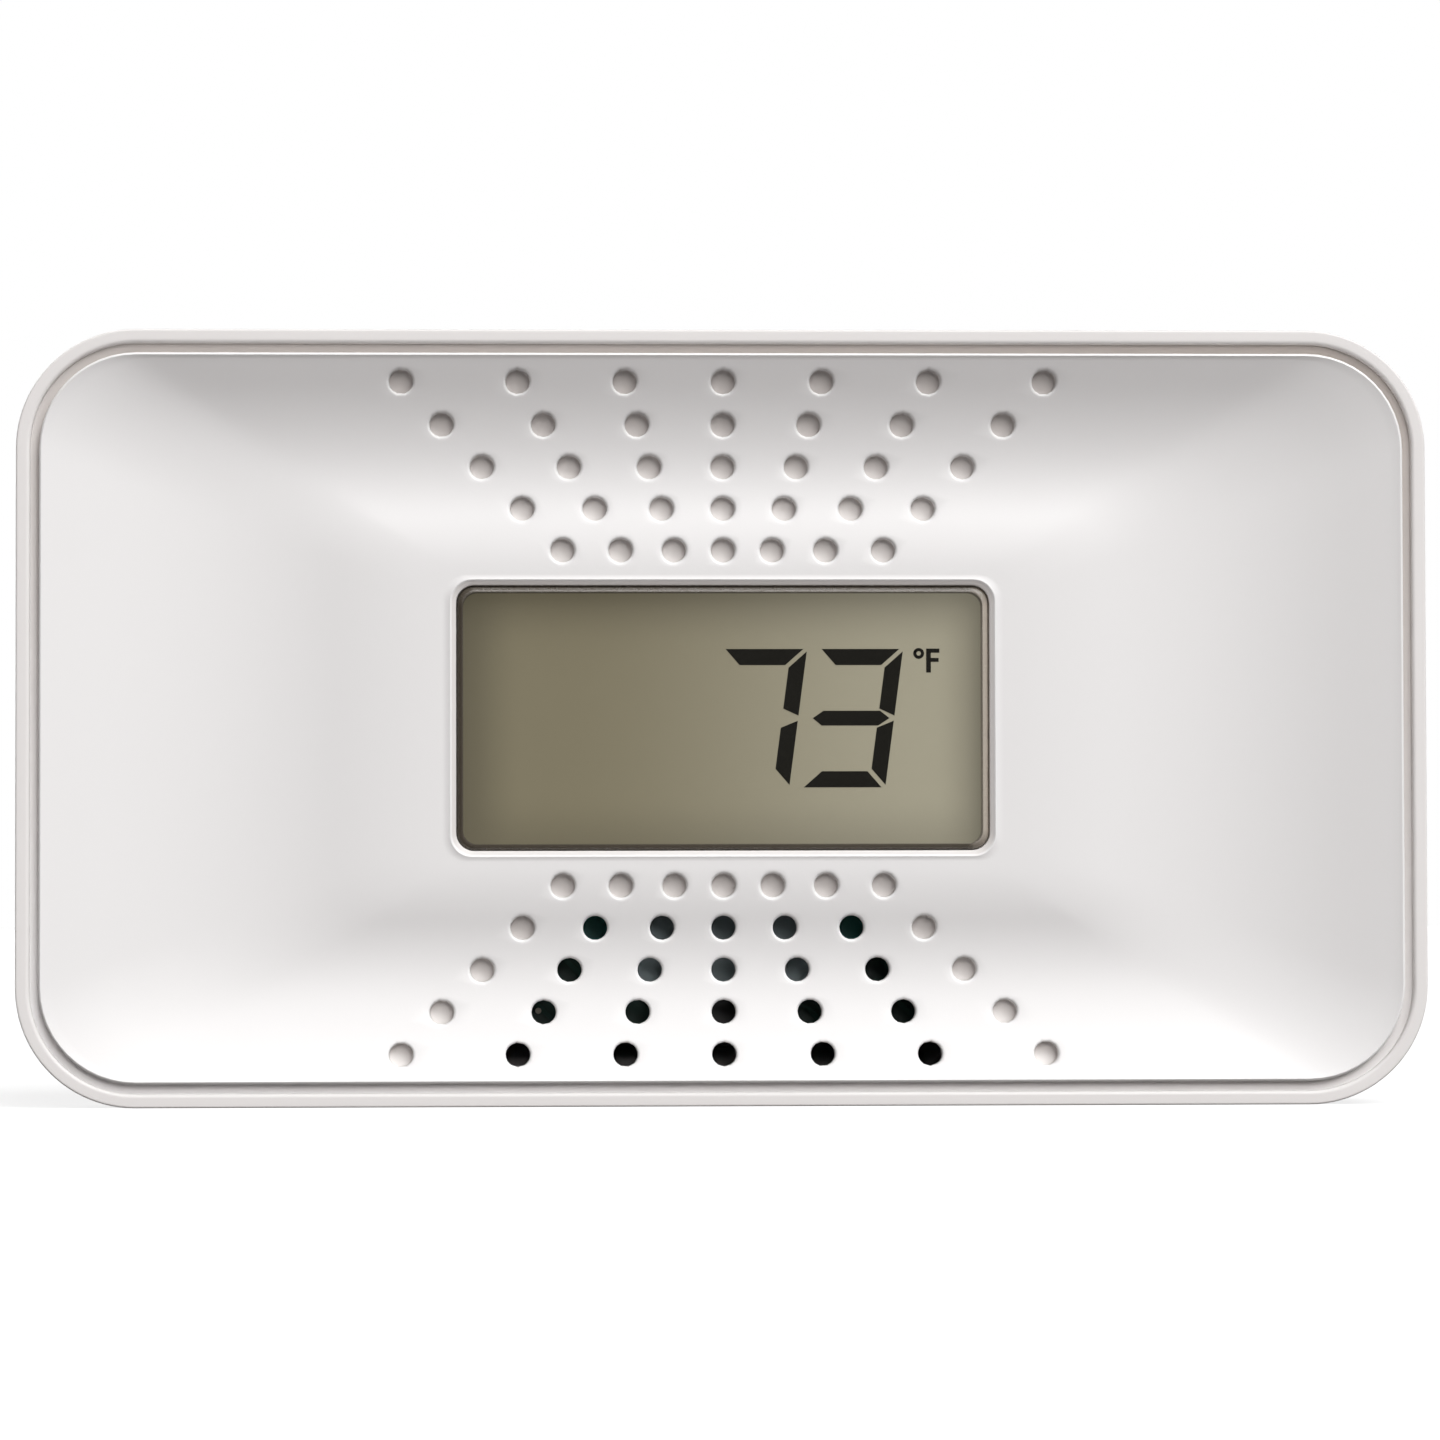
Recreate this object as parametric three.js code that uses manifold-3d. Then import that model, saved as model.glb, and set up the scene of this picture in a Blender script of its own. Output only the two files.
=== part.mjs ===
// Carbon monoxide alarm, landscape, standing on a shelf or hung on a wall bracket.
// Units are millimetres. +Z is up, the front faces -Y, the origin is the middle of the foot.
import * as THREE from 'three';
import { mergeVertices } from 'three/addons/utils/BufferGeometryUtils.js';
import Module from 'manifold-3d';

const wasm = await Module();
wasm.setup();

// ---- overall ----
const WIDTH = 149;
const HEIGHT = 82;
const DEPTH = 38;
const MID_Z = HEIGHT / 2;
const CORNER_STEPS = 5;

// ---- dished front cover ----
const LIP = { x: 72.05, z: 38.5, r: 10.2 };
const BEZEL = { x: 29.0, z: 14.8, r: 2.0 };
const WINDOW = { x: 28.25, z: 14.05, r: 1.5 };
const LIP_EDGE = 0.2;
const LIP_SLOPE = 0.4;
const FLANK_SLOPE = -0.44 * LIP_SLOPE;
const LIP_END = 0.86;
const FLANK_AT = 0.28;
const MOUND_END = 0.04;
const COVER_THICKNESS = 1.9;
const BEZEL_DROP = 0.75;
const GROOVE_DEPTH = 2.4;
const SKIRT = { x: 73.0, z: 39.5, r: 11.1 };
const SKIRT_WALL = 1.6;
const SKIRT_END = 9.0;

// ---- perforations, set out on rays from the middle of the panel ----
const FIRST_ROW = 17.75;
const ROW_PITCH = 4.45;
const ROW_COUNT = 5;
const RAY_SLOPES = [-0.958, -0.612, -0.293, 0, 0.293, 0.612, 0.958];
const OPEN_SLOPE_LIMIT = 0.7;
const HOLE_RADIUS = 1.3;
const DIMPLE_DEPTH = 1.2;
const OPEN_SIDES = 10;
const DIMPLE_SIDES = 8;

// ---- rear housing ----
const RIM = { x: WIDTH / 2, z: HEIGHT / 2, r: 12.6 };
const RIM_START = 0.9;
const RIM_WALL = 1.3;
const RIM_BEVEL = 0.4;
const SHOULDER_START = 12.0;
const SHOULDER_STEP = 2.0;
const SHELL_WALL = 2.0;
const TAPER = 3.2;
const TAPER_END = 32.5;
const BACK_FACE = 35.5;
const BACK_ROUND = 3.0;

// ---- fixings that join cover, board and housing ----
const COVER_SCREW = { x: 61, z: 27.5, head: 2.8, headHeight: 2.2, shank: 1.4, seat: 27, tip: 7 };
const BOARD_SCREW = { x: 48, z: 27, head: 2.2, headHeight: 1.6, shank: 1.1, tip: 7.5 };
const BOSS_JOINT = 14.2;
const SCREW_SIDES = 12;

// ---- circuit board and display ----
const BOARD_FRONT = 12.0;
const BOARD_BACK = 13.6;
const BOARD = { wideX: 63, wideZ: 22, tallX: 55, tallZ: 34.5 };
const LENS_FRONT = 2.95;
const LENS_BACK = 5.3;
const LENS_GAP = 0.2;
const GLASS = { x: 29.5, bottom: 26.0, top: 60.0, cellTop: 56.6, front: 6.3, mid: 7.4, back: 8.5 };
const HOLDER = { x: 32.5, bottom: 23.8, top: 61.8, front: 5.6, back: 9.3 };

// ---- horn ----
const HORN_Z = 17.5;
const HORN = { mouth: 10.3, neck: 8.7, body: 11.5, wall: 1.0, mouthFront: 9.6, back: 20, capBack: 21.2 };

// ---- gas sensor ----
const SENSOR = { x: -50, z: 40, r: 10.2, base: 14.8, can: 16.8, cap: 28.3, end: 29.5 };

// ---- battery ----
const CELL = { z: 60, depth: 23.1, r: 8.5, start: 7.7, end: 42.3, nub: 1.2, nubR: 3 };

// ---- test button ----
const BUTTON = { x: 20, d0: 15.5, d1: 26.5, top: 80.6, flangeTop: 75.2, flangeBottom: 74.2, rim: 1.3, gap: 0.35 };
const TACT = { x: 3, bottom: 66, top: 72, d0: BOARD_BACK, d1: 17.8, plungerTop: 73.4, plungerR: 1.5 };

// ---- power slider ----
const SLIDER = { x: 59.5, z: 42.5, travel: 3.0, knobX: 3.5, knobZ: 4.0, neck: 1.5, out: 36.8, inner: 32.0 };

// ---- wall bracket ----
const BRACKET = { x: 52, bottom: 13, top: 69, r: 5, front: 35.8, back: 38, openX: 22, openBottom: 24, openTop: 58 };
const HOOKS = [[-46.5, 63], [46.5, 63], [-46.5, 24], [46.5, 24]];
const HOOK = { stemX: 1.5, stemZ: 1.2, headX: 3.5, headZ: 3.0, headFront: 31.9, headBack: 33.2 };
const HOOK_RELEASE = 8.0;
const KEYHOLE = { x: 34, z: 33, r: 4.6, slot: 2.2, rise: 10 };
const POCKET = { x: 6, bottom: 21, top: 49, floor: 31.4, wall: 1.5 };

// ---- colours ----
const finish = (color, roughness, metalness = 0) => ({ color, roughness, metalness });
const WHITE = finish(0xf3f1ec, 0.45);
const CLEAR = finish(0xdfe6e2, 0.05);
const GLASS_GREY = finish(0xa9a68c, 0.12);
const FOIL = finish(0x8f8b72, 0.3, 0.4);
const BLACK = finish(0x17191b, 0.55);
const GREEN = finish(0x1c5a38, 0.4);
const STEEL = finish(0xb9bcc0, 0.35, 1);
const NICKEL = finish(0xc9c6bd, 0.3, 1);
const BRASS = finish(0xc6a24c, 0.3, 1);
const CERAMIC = finish(0xe9e5d8, 0.6);
const RUBBER = finish(0x35363a, 0.85);
const SLEEVE = finish(0x2f6f9c, 0.4);
const COPPER_TAPE = finish(0xd2a63a, 0.5);
const PAPER = finish(0xe8e6e0, 0.7);
const RED = finish(0xb3231c, 0.4);
const LAMP_GREEN = finish(0x49b36a, 0.2);

// ---- helpers ----
const at = (depth) => depth - DEPTH / 2;
const group = new THREE.Group();
group.name = 'carbon_monoxide_alarm';

function addPart(name, geometry, look) {
  const merged = mergeVertices(bare(geometry), 1e-4);
  merged.computeVertexNormals();
  const mesh = new THREE.Mesh(merged, new THREE.MeshStandardMaterial(look));
  mesh.name = name;
  group.add(mesh);
}

function bare(geometry) {
  const copy = geometry.clone();
  copy.deleteAttribute('normal');
  copy.deleteAttribute('uv');
  return copy;
}

function toSolid(geometry) {
  const merged = mergeVertices(bare(geometry), 1e-4);
  return new wasm.Manifold(new wasm.Mesh({
    numProp: 3,
    vertProperties: Float32Array.from(merged.attributes.position.array),
    triVerts: Uint32Array.from(merged.index.array),
  }));
}

function toGeometry(solid) {
  const mesh = solid.getMesh();
  const geometry = new THREE.BufferGeometry();
  geometry.setAttribute('position', new THREE.BufferAttribute(new Float32Array(mesh.vertProperties), 3));
  geometry.setIndex(new THREE.BufferAttribute(new Uint32Array(mesh.triVerts), 1));
  return geometry;
}

function combine(base, additions, cuts) {
  let solid = toSolid(base);
  for (const addition of additions) {
    solid = solid.add(toSolid(addition));
  }
  for (const cut of cuts) {
    solid = solid.subtract(toSolid(cut));
  }
  return toGeometry(solid);
}

// Box given by its extents: x, depth behind the front plane, z.
function block(x0, x1, d0, d1, z0, z1) {
  const box = new THREE.BoxGeometry(x1 - x0, d1 - d0, z1 - z0);
  return box.translate((x0 + x1) / 2, at((d0 + d1) / 2), (z0 + z1) / 2);
}

// Round bar running front to back.
function rod(x, z, radius, d0, d1, sides) {
  const bar = new THREE.CylinderGeometry(radius, radius, d1 - d0, sides);
  return bar.translate(x, at((d0 + d1) / 2), z);
}

// Body of revolution about a front-to-back axis; profile entries are [radius, depth].
function turned(profile, x, z, sides) {
  const points = profile.map(([radius, depth]) => new THREE.Vector2(radius, depth));
  return new THREE.LatheGeometry(points, sides).translate(x, at(0), z);
}

function roundedShape(x0, x1, z0, z1, radius) {
  const shape = new THREE.Shape();
  shape.moveTo(x0 + radius, z0);
  shape.lineTo(x1 - radius, z0);
  shape.absarc(x1 - radius, z0 + radius, radius, -Math.PI / 2, 0, false);
  shape.lineTo(x1, z1 - radius);
  shape.absarc(x1 - radius, z1 - radius, radius, 0, Math.PI / 2, false);
  shape.lineTo(x0 + radius, z1);
  shape.absarc(x0 + radius, z1 - radius, radius, Math.PI / 2, Math.PI, false);
  shape.lineTo(x0, z0 + radius);
  shape.absarc(x0 + radius, z0 + radius, radius, Math.PI, Math.PI * 1.5, false);
  return shape;
}

// Plate whose outline lies in the x-z plane, from depth d0 to d1.
function slab(shape, d0, d1, curveSegments = 4) {
  const plate = new THREE.ExtrudeGeometry(shape, { depth: d1 - d0, bevelEnabled: false, curveSegments });
  plate.rotateX(Math.PI / 2);
  return plate.translate(0, at(d1), 0);
}

// Rounded-rectangle ring about the middle of the alarm, at one depth.
function ring({ x, z, r }, depth) {
  const points = [];
  for (let corner = 0; corner < 4; corner += 1) {
    const signX = corner === 0 || corner === 3 ? 1 : -1;
    const signZ = corner < 2 ? 1 : -1;
    for (let step = 0; step <= CORNER_STEPS; step += 1) {
      const angle = (corner + step / CORNER_STEPS) * Math.PI / 2;
      const px = signX * (x - r) + r * Math.cos(angle);
      const pz = signZ * (z - r) + r * Math.sin(angle);
      points.push(new THREE.Vector3(px, at(depth), MID_Z + pz));
    }
  }
  return points;
}

const inset = ({ x, z, r }, by) => ({ x: x - by, z: z - by, r: r - by });

// Skin through a row of rings. A closed skin joins the last ring to the first, an open one is capped.
function skin(rings, closed) {
  const count = rings[0].length;
  const positions = rings.flat().flatMap((p) => [p.x, p.y, p.z]);
  const index = [];
  const spans = closed ? rings.length : rings.length - 1;
  for (let row = 0; row < spans; row += 1) {
    const here = row * count;
    const next = ((row + 1) % rings.length) * count;
    for (let k = 0; k < count; k += 1) {
      const after = (k + 1) % count;
      index.push(here + k, next + k, here + after);
      index.push(here + after, next + k, next + after);
    }
  }
  if (!closed) {
    addCap(positions, index, rings, 0, false);
    addCap(positions, index, rings, rings.length - 1, true);
  }
  const geometry = new THREE.BufferGeometry();
  geometry.setAttribute('position', new THREE.Float32BufferAttribute(positions, 3));
  geometry.setIndex(index);
  return geometry;
}

function addCap(positions, index, rings, row, last) {
  const count = rings[0].length;
  const centre = rings[row].reduce((sum, p) => sum.add(p), new THREE.Vector3()).divideScalar(count);
  const apex = positions.length / 3;
  positions.push(centre.x, centre.y, centre.z);
  for (let k = 0; k < count; k += 1) {
    const a = row * count + k;
    const b = row * count + (k + 1) % count;
    index.push(...(last ? [a, apex, b] : [a, b, apex]));
  }
}

// ---- shape of the dish ----
function dishSlope(t) {
  if (t >= LIP_END) {
    return LIP_SLOPE;
  }
  if (t >= FLANK_AT) {
    return FLANK_SLOPE + (LIP_SLOPE - FLANK_SLOPE) * (t - FLANK_AT) / (LIP_END - FLANK_AT);
  }
  return FLANK_SLOPE * Math.max(0, (t - MOUND_END) / (FLANK_AT - MOUND_END));
}

// Depth of the dish below the lip: t is 0 at the display bezel and 1 at the lip.
function dishDepth(t) {
  const steps = 200;
  const run = (LIP.z - BEZEL.z) * (1 - t) / steps;
  let depth = 0;
  for (let k = 0; k < steps; k += 1) {
    depth += run * dishSlope(t + (1 - t) * (k + 0.5) / steps);
  }
  return depth;
}

const contour = (t) => ({
  x: BEZEL.x + (LIP.x - BEZEL.x) * t,
  z: BEZEL.z + (LIP.z - BEZEL.z) * t,
  r: BEZEL.r + (LIP.r - BEZEL.r) * t,
});

function perforations() {
  const holes = [];
  for (const side of [1, -1]) {
    for (let row = 0; row < ROW_COUNT; row += 1) {
      const reach = FIRST_ROW + row * ROW_PITCH;
      const surface = dishDepth((reach - BEZEL.z) / (LIP.z - BEZEL.z));
      for (const slope of RAY_SLOPES) {
        const open = side < 0 && row > 0 && Math.abs(slope) < OPEN_SLOPE_LIMIT;
        const sides = open ? OPEN_SIDES : DIMPLE_SIDES;
        const end = open ? SKIRT_END : surface + DIMPLE_DEPTH;
        holes.push(rod(slope * reach, MID_Z + side * reach, HOLE_RADIUS, -1, end, sides));
      }
    }
  }
  return holes;
}

// The four places a fixing pattern repeats at.
function fourPlaces({ x, z }) {
  return [[-x, MID_Z + z], [x, MID_Z + z], [-x, MID_Z - z], [x, MID_Z - z]];
}

// ---- front cover: dished panel, skirt inside the rim, bosses behind ----
function frontCover() {
  const face = [0, 0.16, 0.28, 0.45, 0.66, 0.86];
  const mound = dishDepth(0);
  const rings = [
    ring(WINDOW, mound + COVER_THICKNESS),
    ring(WINDOW, mound + BEZEL_DROP),
    ...face.map((t) => ring(contour(t), dishDepth(t))),
    ring(inset(LIP, LIP_EDGE), 0),
    ring(LIP, LIP_EDGE),
    ring(LIP, GROOVE_DEPTH),
    ring(SKIRT, GROOVE_DEPTH),
    ring(SKIRT, SKIRT_END),
    ring(inset(SKIRT, SKIRT_WALL), SKIRT_END),
    ring(inset(SKIRT, SKIRT_WALL), GROOVE_DEPTH + COVER_THICKNESS),
    ring(contour(0.93), GROOVE_DEPTH + 0.5),
    ring(contour(0.86), dishDepth(0.86) + COVER_THICKNESS),
    ring(contour(0.66), dishDepth(0.66) + COVER_THICKNESS),
    ring(contour(0.45), dishDepth(0.45) + COVER_THICKNESS),
    ring(contour(0.28), dishDepth(0.28) + COVER_THICKNESS),
    ring(contour(0.08), mound + COVER_THICKNESS),
  ];
  const bossStart = 3.4;
  const bosses = [
    ...fourPlaces(COVER_SCREW).map(([x, z]) => rod(x, z, 3.6, bossStart, BOSS_JOINT, SCREW_SIDES)),
    ...fourPlaces(BOARD_SCREW).map(([x, z]) => rod(x, z, 3.0, bossStart, BOARD_FRONT, SCREW_SIDES)),
  ];
  const pilots = [
    ...fourPlaces(COVER_SCREW).map(([x, z]) => rod(x, z, 1.7, COVER_SCREW.tip - 1, 20, SCREW_SIDES)),
    ...fourPlaces(BOARD_SCREW).map(([x, z]) => rod(x, z, 1.4, BOARD_SCREW.tip - 1, 20, SCREW_SIDES)),
  ];
  addPart('front_cover', combine(skin(rings, true), bosses, [...pilots, ...perforations()]), WHITE);
}

// ---- rear housing: tub with a rim in front, a shoulder and a tapering back ----
function rearHousing() {
  const shoulder = inset(RIM, SHOULDER_STEP);
  const tail = inset(shoulder, TAPER);
  const taperAt = (depth) => inset(shoulder, TAPER * (depth - SHOULDER_START) / (TAPER_END - SHOULDER_START));
  const rings = [
    ring(inset(tail, BACK_ROUND), BACK_FACE),
    ring(inset(tail, BACK_ROUND * 0.3), BACK_FACE - BACK_ROUND * 0.3),
    ring(tail, TAPER_END),
    ring(shoulder, SHOULDER_START + 0.4),
    ring(inset(RIM, 0.4), SHOULDER_START),
    ring(RIM, SHOULDER_START - 0.4),
    ring(RIM, RIM_START + 0.25),
    ring(inset(RIM, 0.25), RIM_START),
    ring(inset(RIM, RIM_WALL - RIM_BEVEL), RIM_START),
    ring(inset(RIM, RIM_WALL), RIM_START + RIM_BEVEL),
    ring(inset(RIM, RIM_WALL), SKIRT_END),
    ring(inset(shoulder, SHELL_WALL), SKIRT_END),
    ring(inset(shoulder, SHELL_WALL), SHOULDER_START),
    ring(inset(taperAt(BACK_FACE - SHELL_WALL), SHELL_WALL), BACK_FACE - SHELL_WALL),
  ];
  const floor = BACK_FACE - SHELL_WALL;
  const additions = [];
  const cuts = [];
  for (const x of [-45, 45]) {
    additions.push(block(x - 11, x + 11, 26, 32, 0, 6));
  }
  for (const [x, z] of fourPlaces(COVER_SCREW)) {
    additions.push(rod(x, z, 4.6, BOSS_JOINT, floor + 0.5, SCREW_SIDES));
    cuts.push(rod(x, z, 3.4, COVER_SCREW.seat, BACK_FACE + 1, SCREW_SIDES));
    cuts.push(rod(x, z, 1.8, BOSS_JOINT - 1, COVER_SCREW.seat + 1, SCREW_SIDES));
  }
  for (const x of [-KEYHOLE.x, KEYHOLE.x]) {
    const wall = POCKET.wall;
    const outer = [x - POCKET.x - wall, x + POCKET.x + wall, POCKET.floor - wall, floor + 0.5];
    additions.push(block(...outer, POCKET.bottom - wall, POCKET.top + wall));
    cuts.push(block(x - POCKET.x, x + POCKET.x, POCKET.floor, BACK_FACE + 1, POCKET.bottom, POCKET.top));
  }
  for (const [x, z] of HOOKS) {
    const low = z - HOOK_RELEASE;
    cuts.push(block(x - 4, x + 4, floor - 1, BACK_FACE + 1, low - 3.5, low + 3.5));
    cuts.push(block(x - 1.8, x + 1.8, floor - 1, BACK_FACE + 1, low, z + 1.5));
  }
  for (const side of [-1, 1]) {
    for (let slot = 0; slot < 5; slot += 1) {
      const depth = 16 + slot * 3.4;
      const x = side * 70;
      cuts.push(block(x - 6, x + 6, depth - 0.9, depth + 0.9, MID_Z - 9, MID_Z + 9));
    }
  }
  const gap = BUTTON.gap;
  const buttonHole = roundedShape(
    -BUTTON.x - gap, BUTTON.x + gap, at(BUTTON.d0 - gap), at(BUTTON.d1 + gap), (BUTTON.d1 - BUTTON.d0) / 2 + gap - 0.01,
  );
  cuts.push(upright(buttonHole, BUTTON.flangeTop, HEIGHT + 1));
  const neck = SLIDER.neck + 0.3;
  cuts.push(block(
    SLIDER.x - neck, SLIDER.x + neck, floor - 1, BACK_FACE + 1,
    SLIDER.z - SLIDER.travel - neck, SLIDER.z + neck,
  ));
  addPart('rear_housing', combine(skin(rings.reverse(), false), additions, cuts), WHITE);
}

// Plate whose outline lies in the x-y plane, from height z0 to z1.
function upright(shape, z0, z1, curveSegments = 4) {
  const plate = new THREE.ExtrudeGeometry(shape, { depth: z1 - z0, bevelEnabled: false, curveSegments });
  return plate.translate(0, 0, z0);
}

// ---- display: clear window, two glasses, reflector, holder and contact strip ----
function displayLens() {
  const inX = WINDOW.x - LENS_GAP;
  const inZ = WINDOW.z - LENS_GAP;
  const seat = dishDepth(0) + COVER_THICKNESS;
  const pane = { x: inX, z: inZ, r: WINDOW.r - LENS_GAP };
  const flange = { x: inX + 1.9, z: inZ + 1.9, r: 2.5 };
  const rings = [
    ring(inset(pane, 0.35), LENS_FRONT),
    ring(pane, LENS_FRONT + 0.35),
    ring(pane, seat),
    ring(flange, seat),
    ring(flange, LENS_BACK),
  ];
  addPart('display_lens', skin(rings, false), CLEAR);
}

function display() {
  const x = GLASS.x;
  addPart('lcd_front_glass', block(-x, x, GLASS.front, GLASS.mid, GLASS.bottom, GLASS.top), GLASS_GREY);
  addPart('lcd_rear_glass', block(-x, x, GLASS.mid, GLASS.back, GLASS.bottom, GLASS.cellTop), GLASS_GREY);
  const film = block(-x + 0.5, x - 0.5, GLASS.back, GLASS.back + 0.25, GLASS.bottom + 0.5, GLASS.cellTop - 0.5);
  addPart('lcd_reflector', film, FOIL);
  const strip = block(-x + 1, x - 1, GLASS.mid, BOARD_FRONT, GLASS.cellTop + 0.5, GLASS.cellTop + 3);
  addPart('lcd_contact_strip', strip, RUBBER);
}

function displayHolder() {
  const { x, bottom, top, front, back } = HOLDER;
  const frame = block(-x, x, front, back, bottom, top);
  const legs = [block(-x, x, back - 0.5, BOARD_FRONT, top - 1.4, top)];
  for (const side of [-1, 1]) {
    const foot = side * (x - 1.2);
    legs.push(block(foot - 1.2, foot + 1.2, back - 0.5, BOARD_FRONT, bottom, bottom + 8));
  }
  const well = block(-GLASS.x - 0.2, GLASS.x + 0.2, GLASS.front, 20, GLASS.bottom - 0.2, GLASS.top + 0.2);
  const view = block(-28.6, 28.6, front - 1, GLASS.front + 1, 27.2, 54.8);
  addPart('lcd_holder', combine(frame, legs, [well, view]), BLACK);
}

// ---- circuit board with its notched corners, horn hole and screw holes ----
function circuitBoard() {
  const { wideX, wideZ, tallX, tallZ } = BOARD;
  const half = [[tallX, -tallZ], [tallX, -wideZ], [wideX, -wideZ], [wideX, wideZ], [tallX, wideZ], [tallX, tallZ]];
  const outline = [...half, ...half.map(([x, z]) => [-x, -z])];
  const shape = new THREE.Shape(outline.map(([x, z]) => new THREE.Vector2(x, MID_Z + z)));
  const holes = fourPlaces(BOARD_SCREW).map(([x, z]) => [x, z, 1.5]);
  holes.push([0, HORN_Z, HORN.neck + 0.4]);
  for (const [x, z, radius] of holes) {
    const hole = new THREE.Path();
    hole.absarc(x, z, radius, 0, Math.PI * 2, true);
    shape.holes.push(hole);
  }
  addPart('circuit_board', slab(shape, BOARD_FRONT, BOARD_BACK, 6), GREEN);
}

// ---- screws ----
function screwProfile({ head, headHeight, shank, tip }, seat) {
  return [
    [0, tip],
    [shank * 0.45, tip],
    [shank, tip + shank],
    [shank, seat],
    [head, seat],
    [head, seat + headHeight * 0.55],
    [head * 0.7, seat + headHeight],
    [head * 0.3, seat + headHeight],
    [head * 0.3, seat + headHeight * 0.45],
    [0, seat + headHeight * 0.45],
  ];
}

function screws() {
  fourPlaces(COVER_SCREW).forEach(([x, z], k) => {
    addPart(`cover_screw_${k + 1}`, turned(screwProfile(COVER_SCREW, COVER_SCREW.seat), x, z, SCREW_SIDES), STEEL);
  });
  fourPlaces(BOARD_SCREW).forEach(([x, z], k) => {
    addPart(`board_screw_${k + 1}`, turned(screwProfile(BOARD_SCREW, BOARD_BACK), x, z, SCREW_SIDES), STEEL);
  });
}

// ---- horn: mouth in front of the board, body, disc and cap behind it ----
function horn() {
  const { mouth, neck, body, wall, mouthFront, back, capBack } = HORN;
  const sides = 24;
  const throat = 3.2;
  const mouthProfile = [
    [throat, BOARD_BACK],
    [throat, mouthFront + 2.6],
    [throat + 2.6, mouthFront + 1.4],
    [mouth - 1.3, mouthFront],
    [mouth - 0.5, mouthFront],
    [mouth, mouthFront + 0.5],
    [mouth, BOARD_FRONT],
    [neck, BOARD_FRONT],
    [neck, BOARD_BACK],
    [throat, BOARD_BACK],
  ];
  addPart('horn_mouth', turned(mouthProfile, 0, HORN_Z, sides), BLACK);
  const ledge = 16.0;
  const bodyProfile = [
    [neck - 1, BOARD_BACK],
    [body, BOARD_BACK],
    [body, back],
    [body - wall, back],
    [body - wall, ledge],
    [neck - 1, ledge],
    [neck - 1, BOARD_BACK],
  ];
  addPart('horn_body', turned(bodyProfile, 0, HORN_Z, sides), BLACK);
  const disc = body - wall - 0.3;
  addPart('piezo_disc', rod(0, HORN_Z, disc, ledge, ledge + 0.3, sides), BRASS);
  addPart('piezo_ceramic', rod(0, HORN_Z, 6.8, ledge + 0.3, ledge + 0.55, sides), CERAMIC);
  const capProfile = [
    [0, back],
    [body, back],
    [body, capBack - 0.4],
    [body - 0.4, capBack],
    [0, capBack],
  ];
  addPart('horn_back_cap', turned(capProfile, 0, HORN_Z, sides), BLACK);
  addPart('horn_lead_red', lead(14, 4, HORN_Z + 6, HORN_Z + 2), RED);
  addPart('horn_lead_black', lead(-14, -4, HORN_Z + 6, HORN_Z + 2), BLACK);
}

// Insulated lead arching from the board to the horn cap.
function lead(x0, x1, z0, z1) {
  const arch = 27;
  const curve = new THREE.CubicBezierCurve3(
    new THREE.Vector3(x0, at(BOARD_BACK), z0),
    new THREE.Vector3(x0, at(arch), z0),
    new THREE.Vector3(x1, at(arch), z1),
    new THREE.Vector3(x1, at(HORN.capBack), z1),
  );
  const steps = 12;
  const sides = 6;
  const radius = 0.55;
  const frames = curve.computeFrenetFrames(steps, false);
  const rings = [];
  for (let k = 0; k <= steps; k += 1) {
    const centre = curve.getPointAt(k / steps);
    const points = [];
    for (let side = 0; side < sides; side += 1) {
      const angle = side / sides * Math.PI * 2;
      const point = centre.clone();
      point.addScaledVector(frames.normals[k], radius * Math.cos(angle));
      point.addScaledVector(frames.binormals[k], radius * Math.sin(angle));
      points.push(point);
    }
    rings.push(points.reverse());
  }
  return skin(rings, false);
}

// ---- gas sensor standing on the back of the board ----
function gasSensor() {
  const { x, z, r, base, can, cap, end } = SENSOR;
  const sides = 24;
  const pins = [[0, 6], [-5.2, -3], [5.2, -3]].map(([px, pz]) => rod(x + px, z + pz, 0.7, BOARD_BACK, base + 1, 8));
  addPart('co_sensor_base', combine(rod(x, z, r - 0.6, base, can, sides), pins, []), BLACK);
  const canProfile = [
    [0, can],
    [r, can],
    [r, can + 1],
    [r - 0.5, can + 1.4],
    [r - 0.5, cap - 0.6],
    [r - 1.1, cap],
    [0, cap],
  ];
  addPart('co_sensor_can', turned(canProfile, x, z, sides), STEEL);
  const capProfile = [
    [1.2, cap],
    [r - 2.2, cap],
    [r - 2.2, end - 0.4],
    [r - 2.6, end],
    [1.2, end],
    [1.2, cap],
  ];
  addPart('co_sensor_cap', turned(capProfile, x, z, sides), BLACK);
}

// ---- battery lying along x behind the board ----
function battery() {
  const { z, depth, r, start, end, nub, nubR } = CELL;
  const profile = [[0, start], [r - 0.5, start], [r, start + 0.5], [r, end - nub - 0.6], [r - 0.6, end - nub]];
  profile.push([nubR, end - nub], [nubR, end], [0, end]);
  const cell = new THREE.LatheGeometry(profile.map(([radius, x]) => new THREE.Vector2(radius, x)), 24);
  cell.rotateZ(-Math.PI / 2);
  cell.translate(0, at(depth), z);
  addPart('battery_cell', cell, SLEEVE);
  addPart('battery_tab_positive', block(end, end + 0.3, BOARD_BACK, depth + 3, z - 2.5, z + 2.5), NICKEL);
  addPart('battery_tab_negative', block(start - 0.3, start, BOARD_BACK, depth + 3, z - 2.5, z + 2.5), NICKEL);
  const hollow = new THREE.CylinderGeometry(r + 0.3, r + 0.3, 40, 24).rotateZ(Math.PI / 2);
  hollow.translate((start + end) / 2, at(depth), z);
  addPart('battery_cradle', combine(block(12, 38, BOARD_BACK, 20, z - 8, z + 8), [], [hollow]), BLACK);
}

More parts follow.
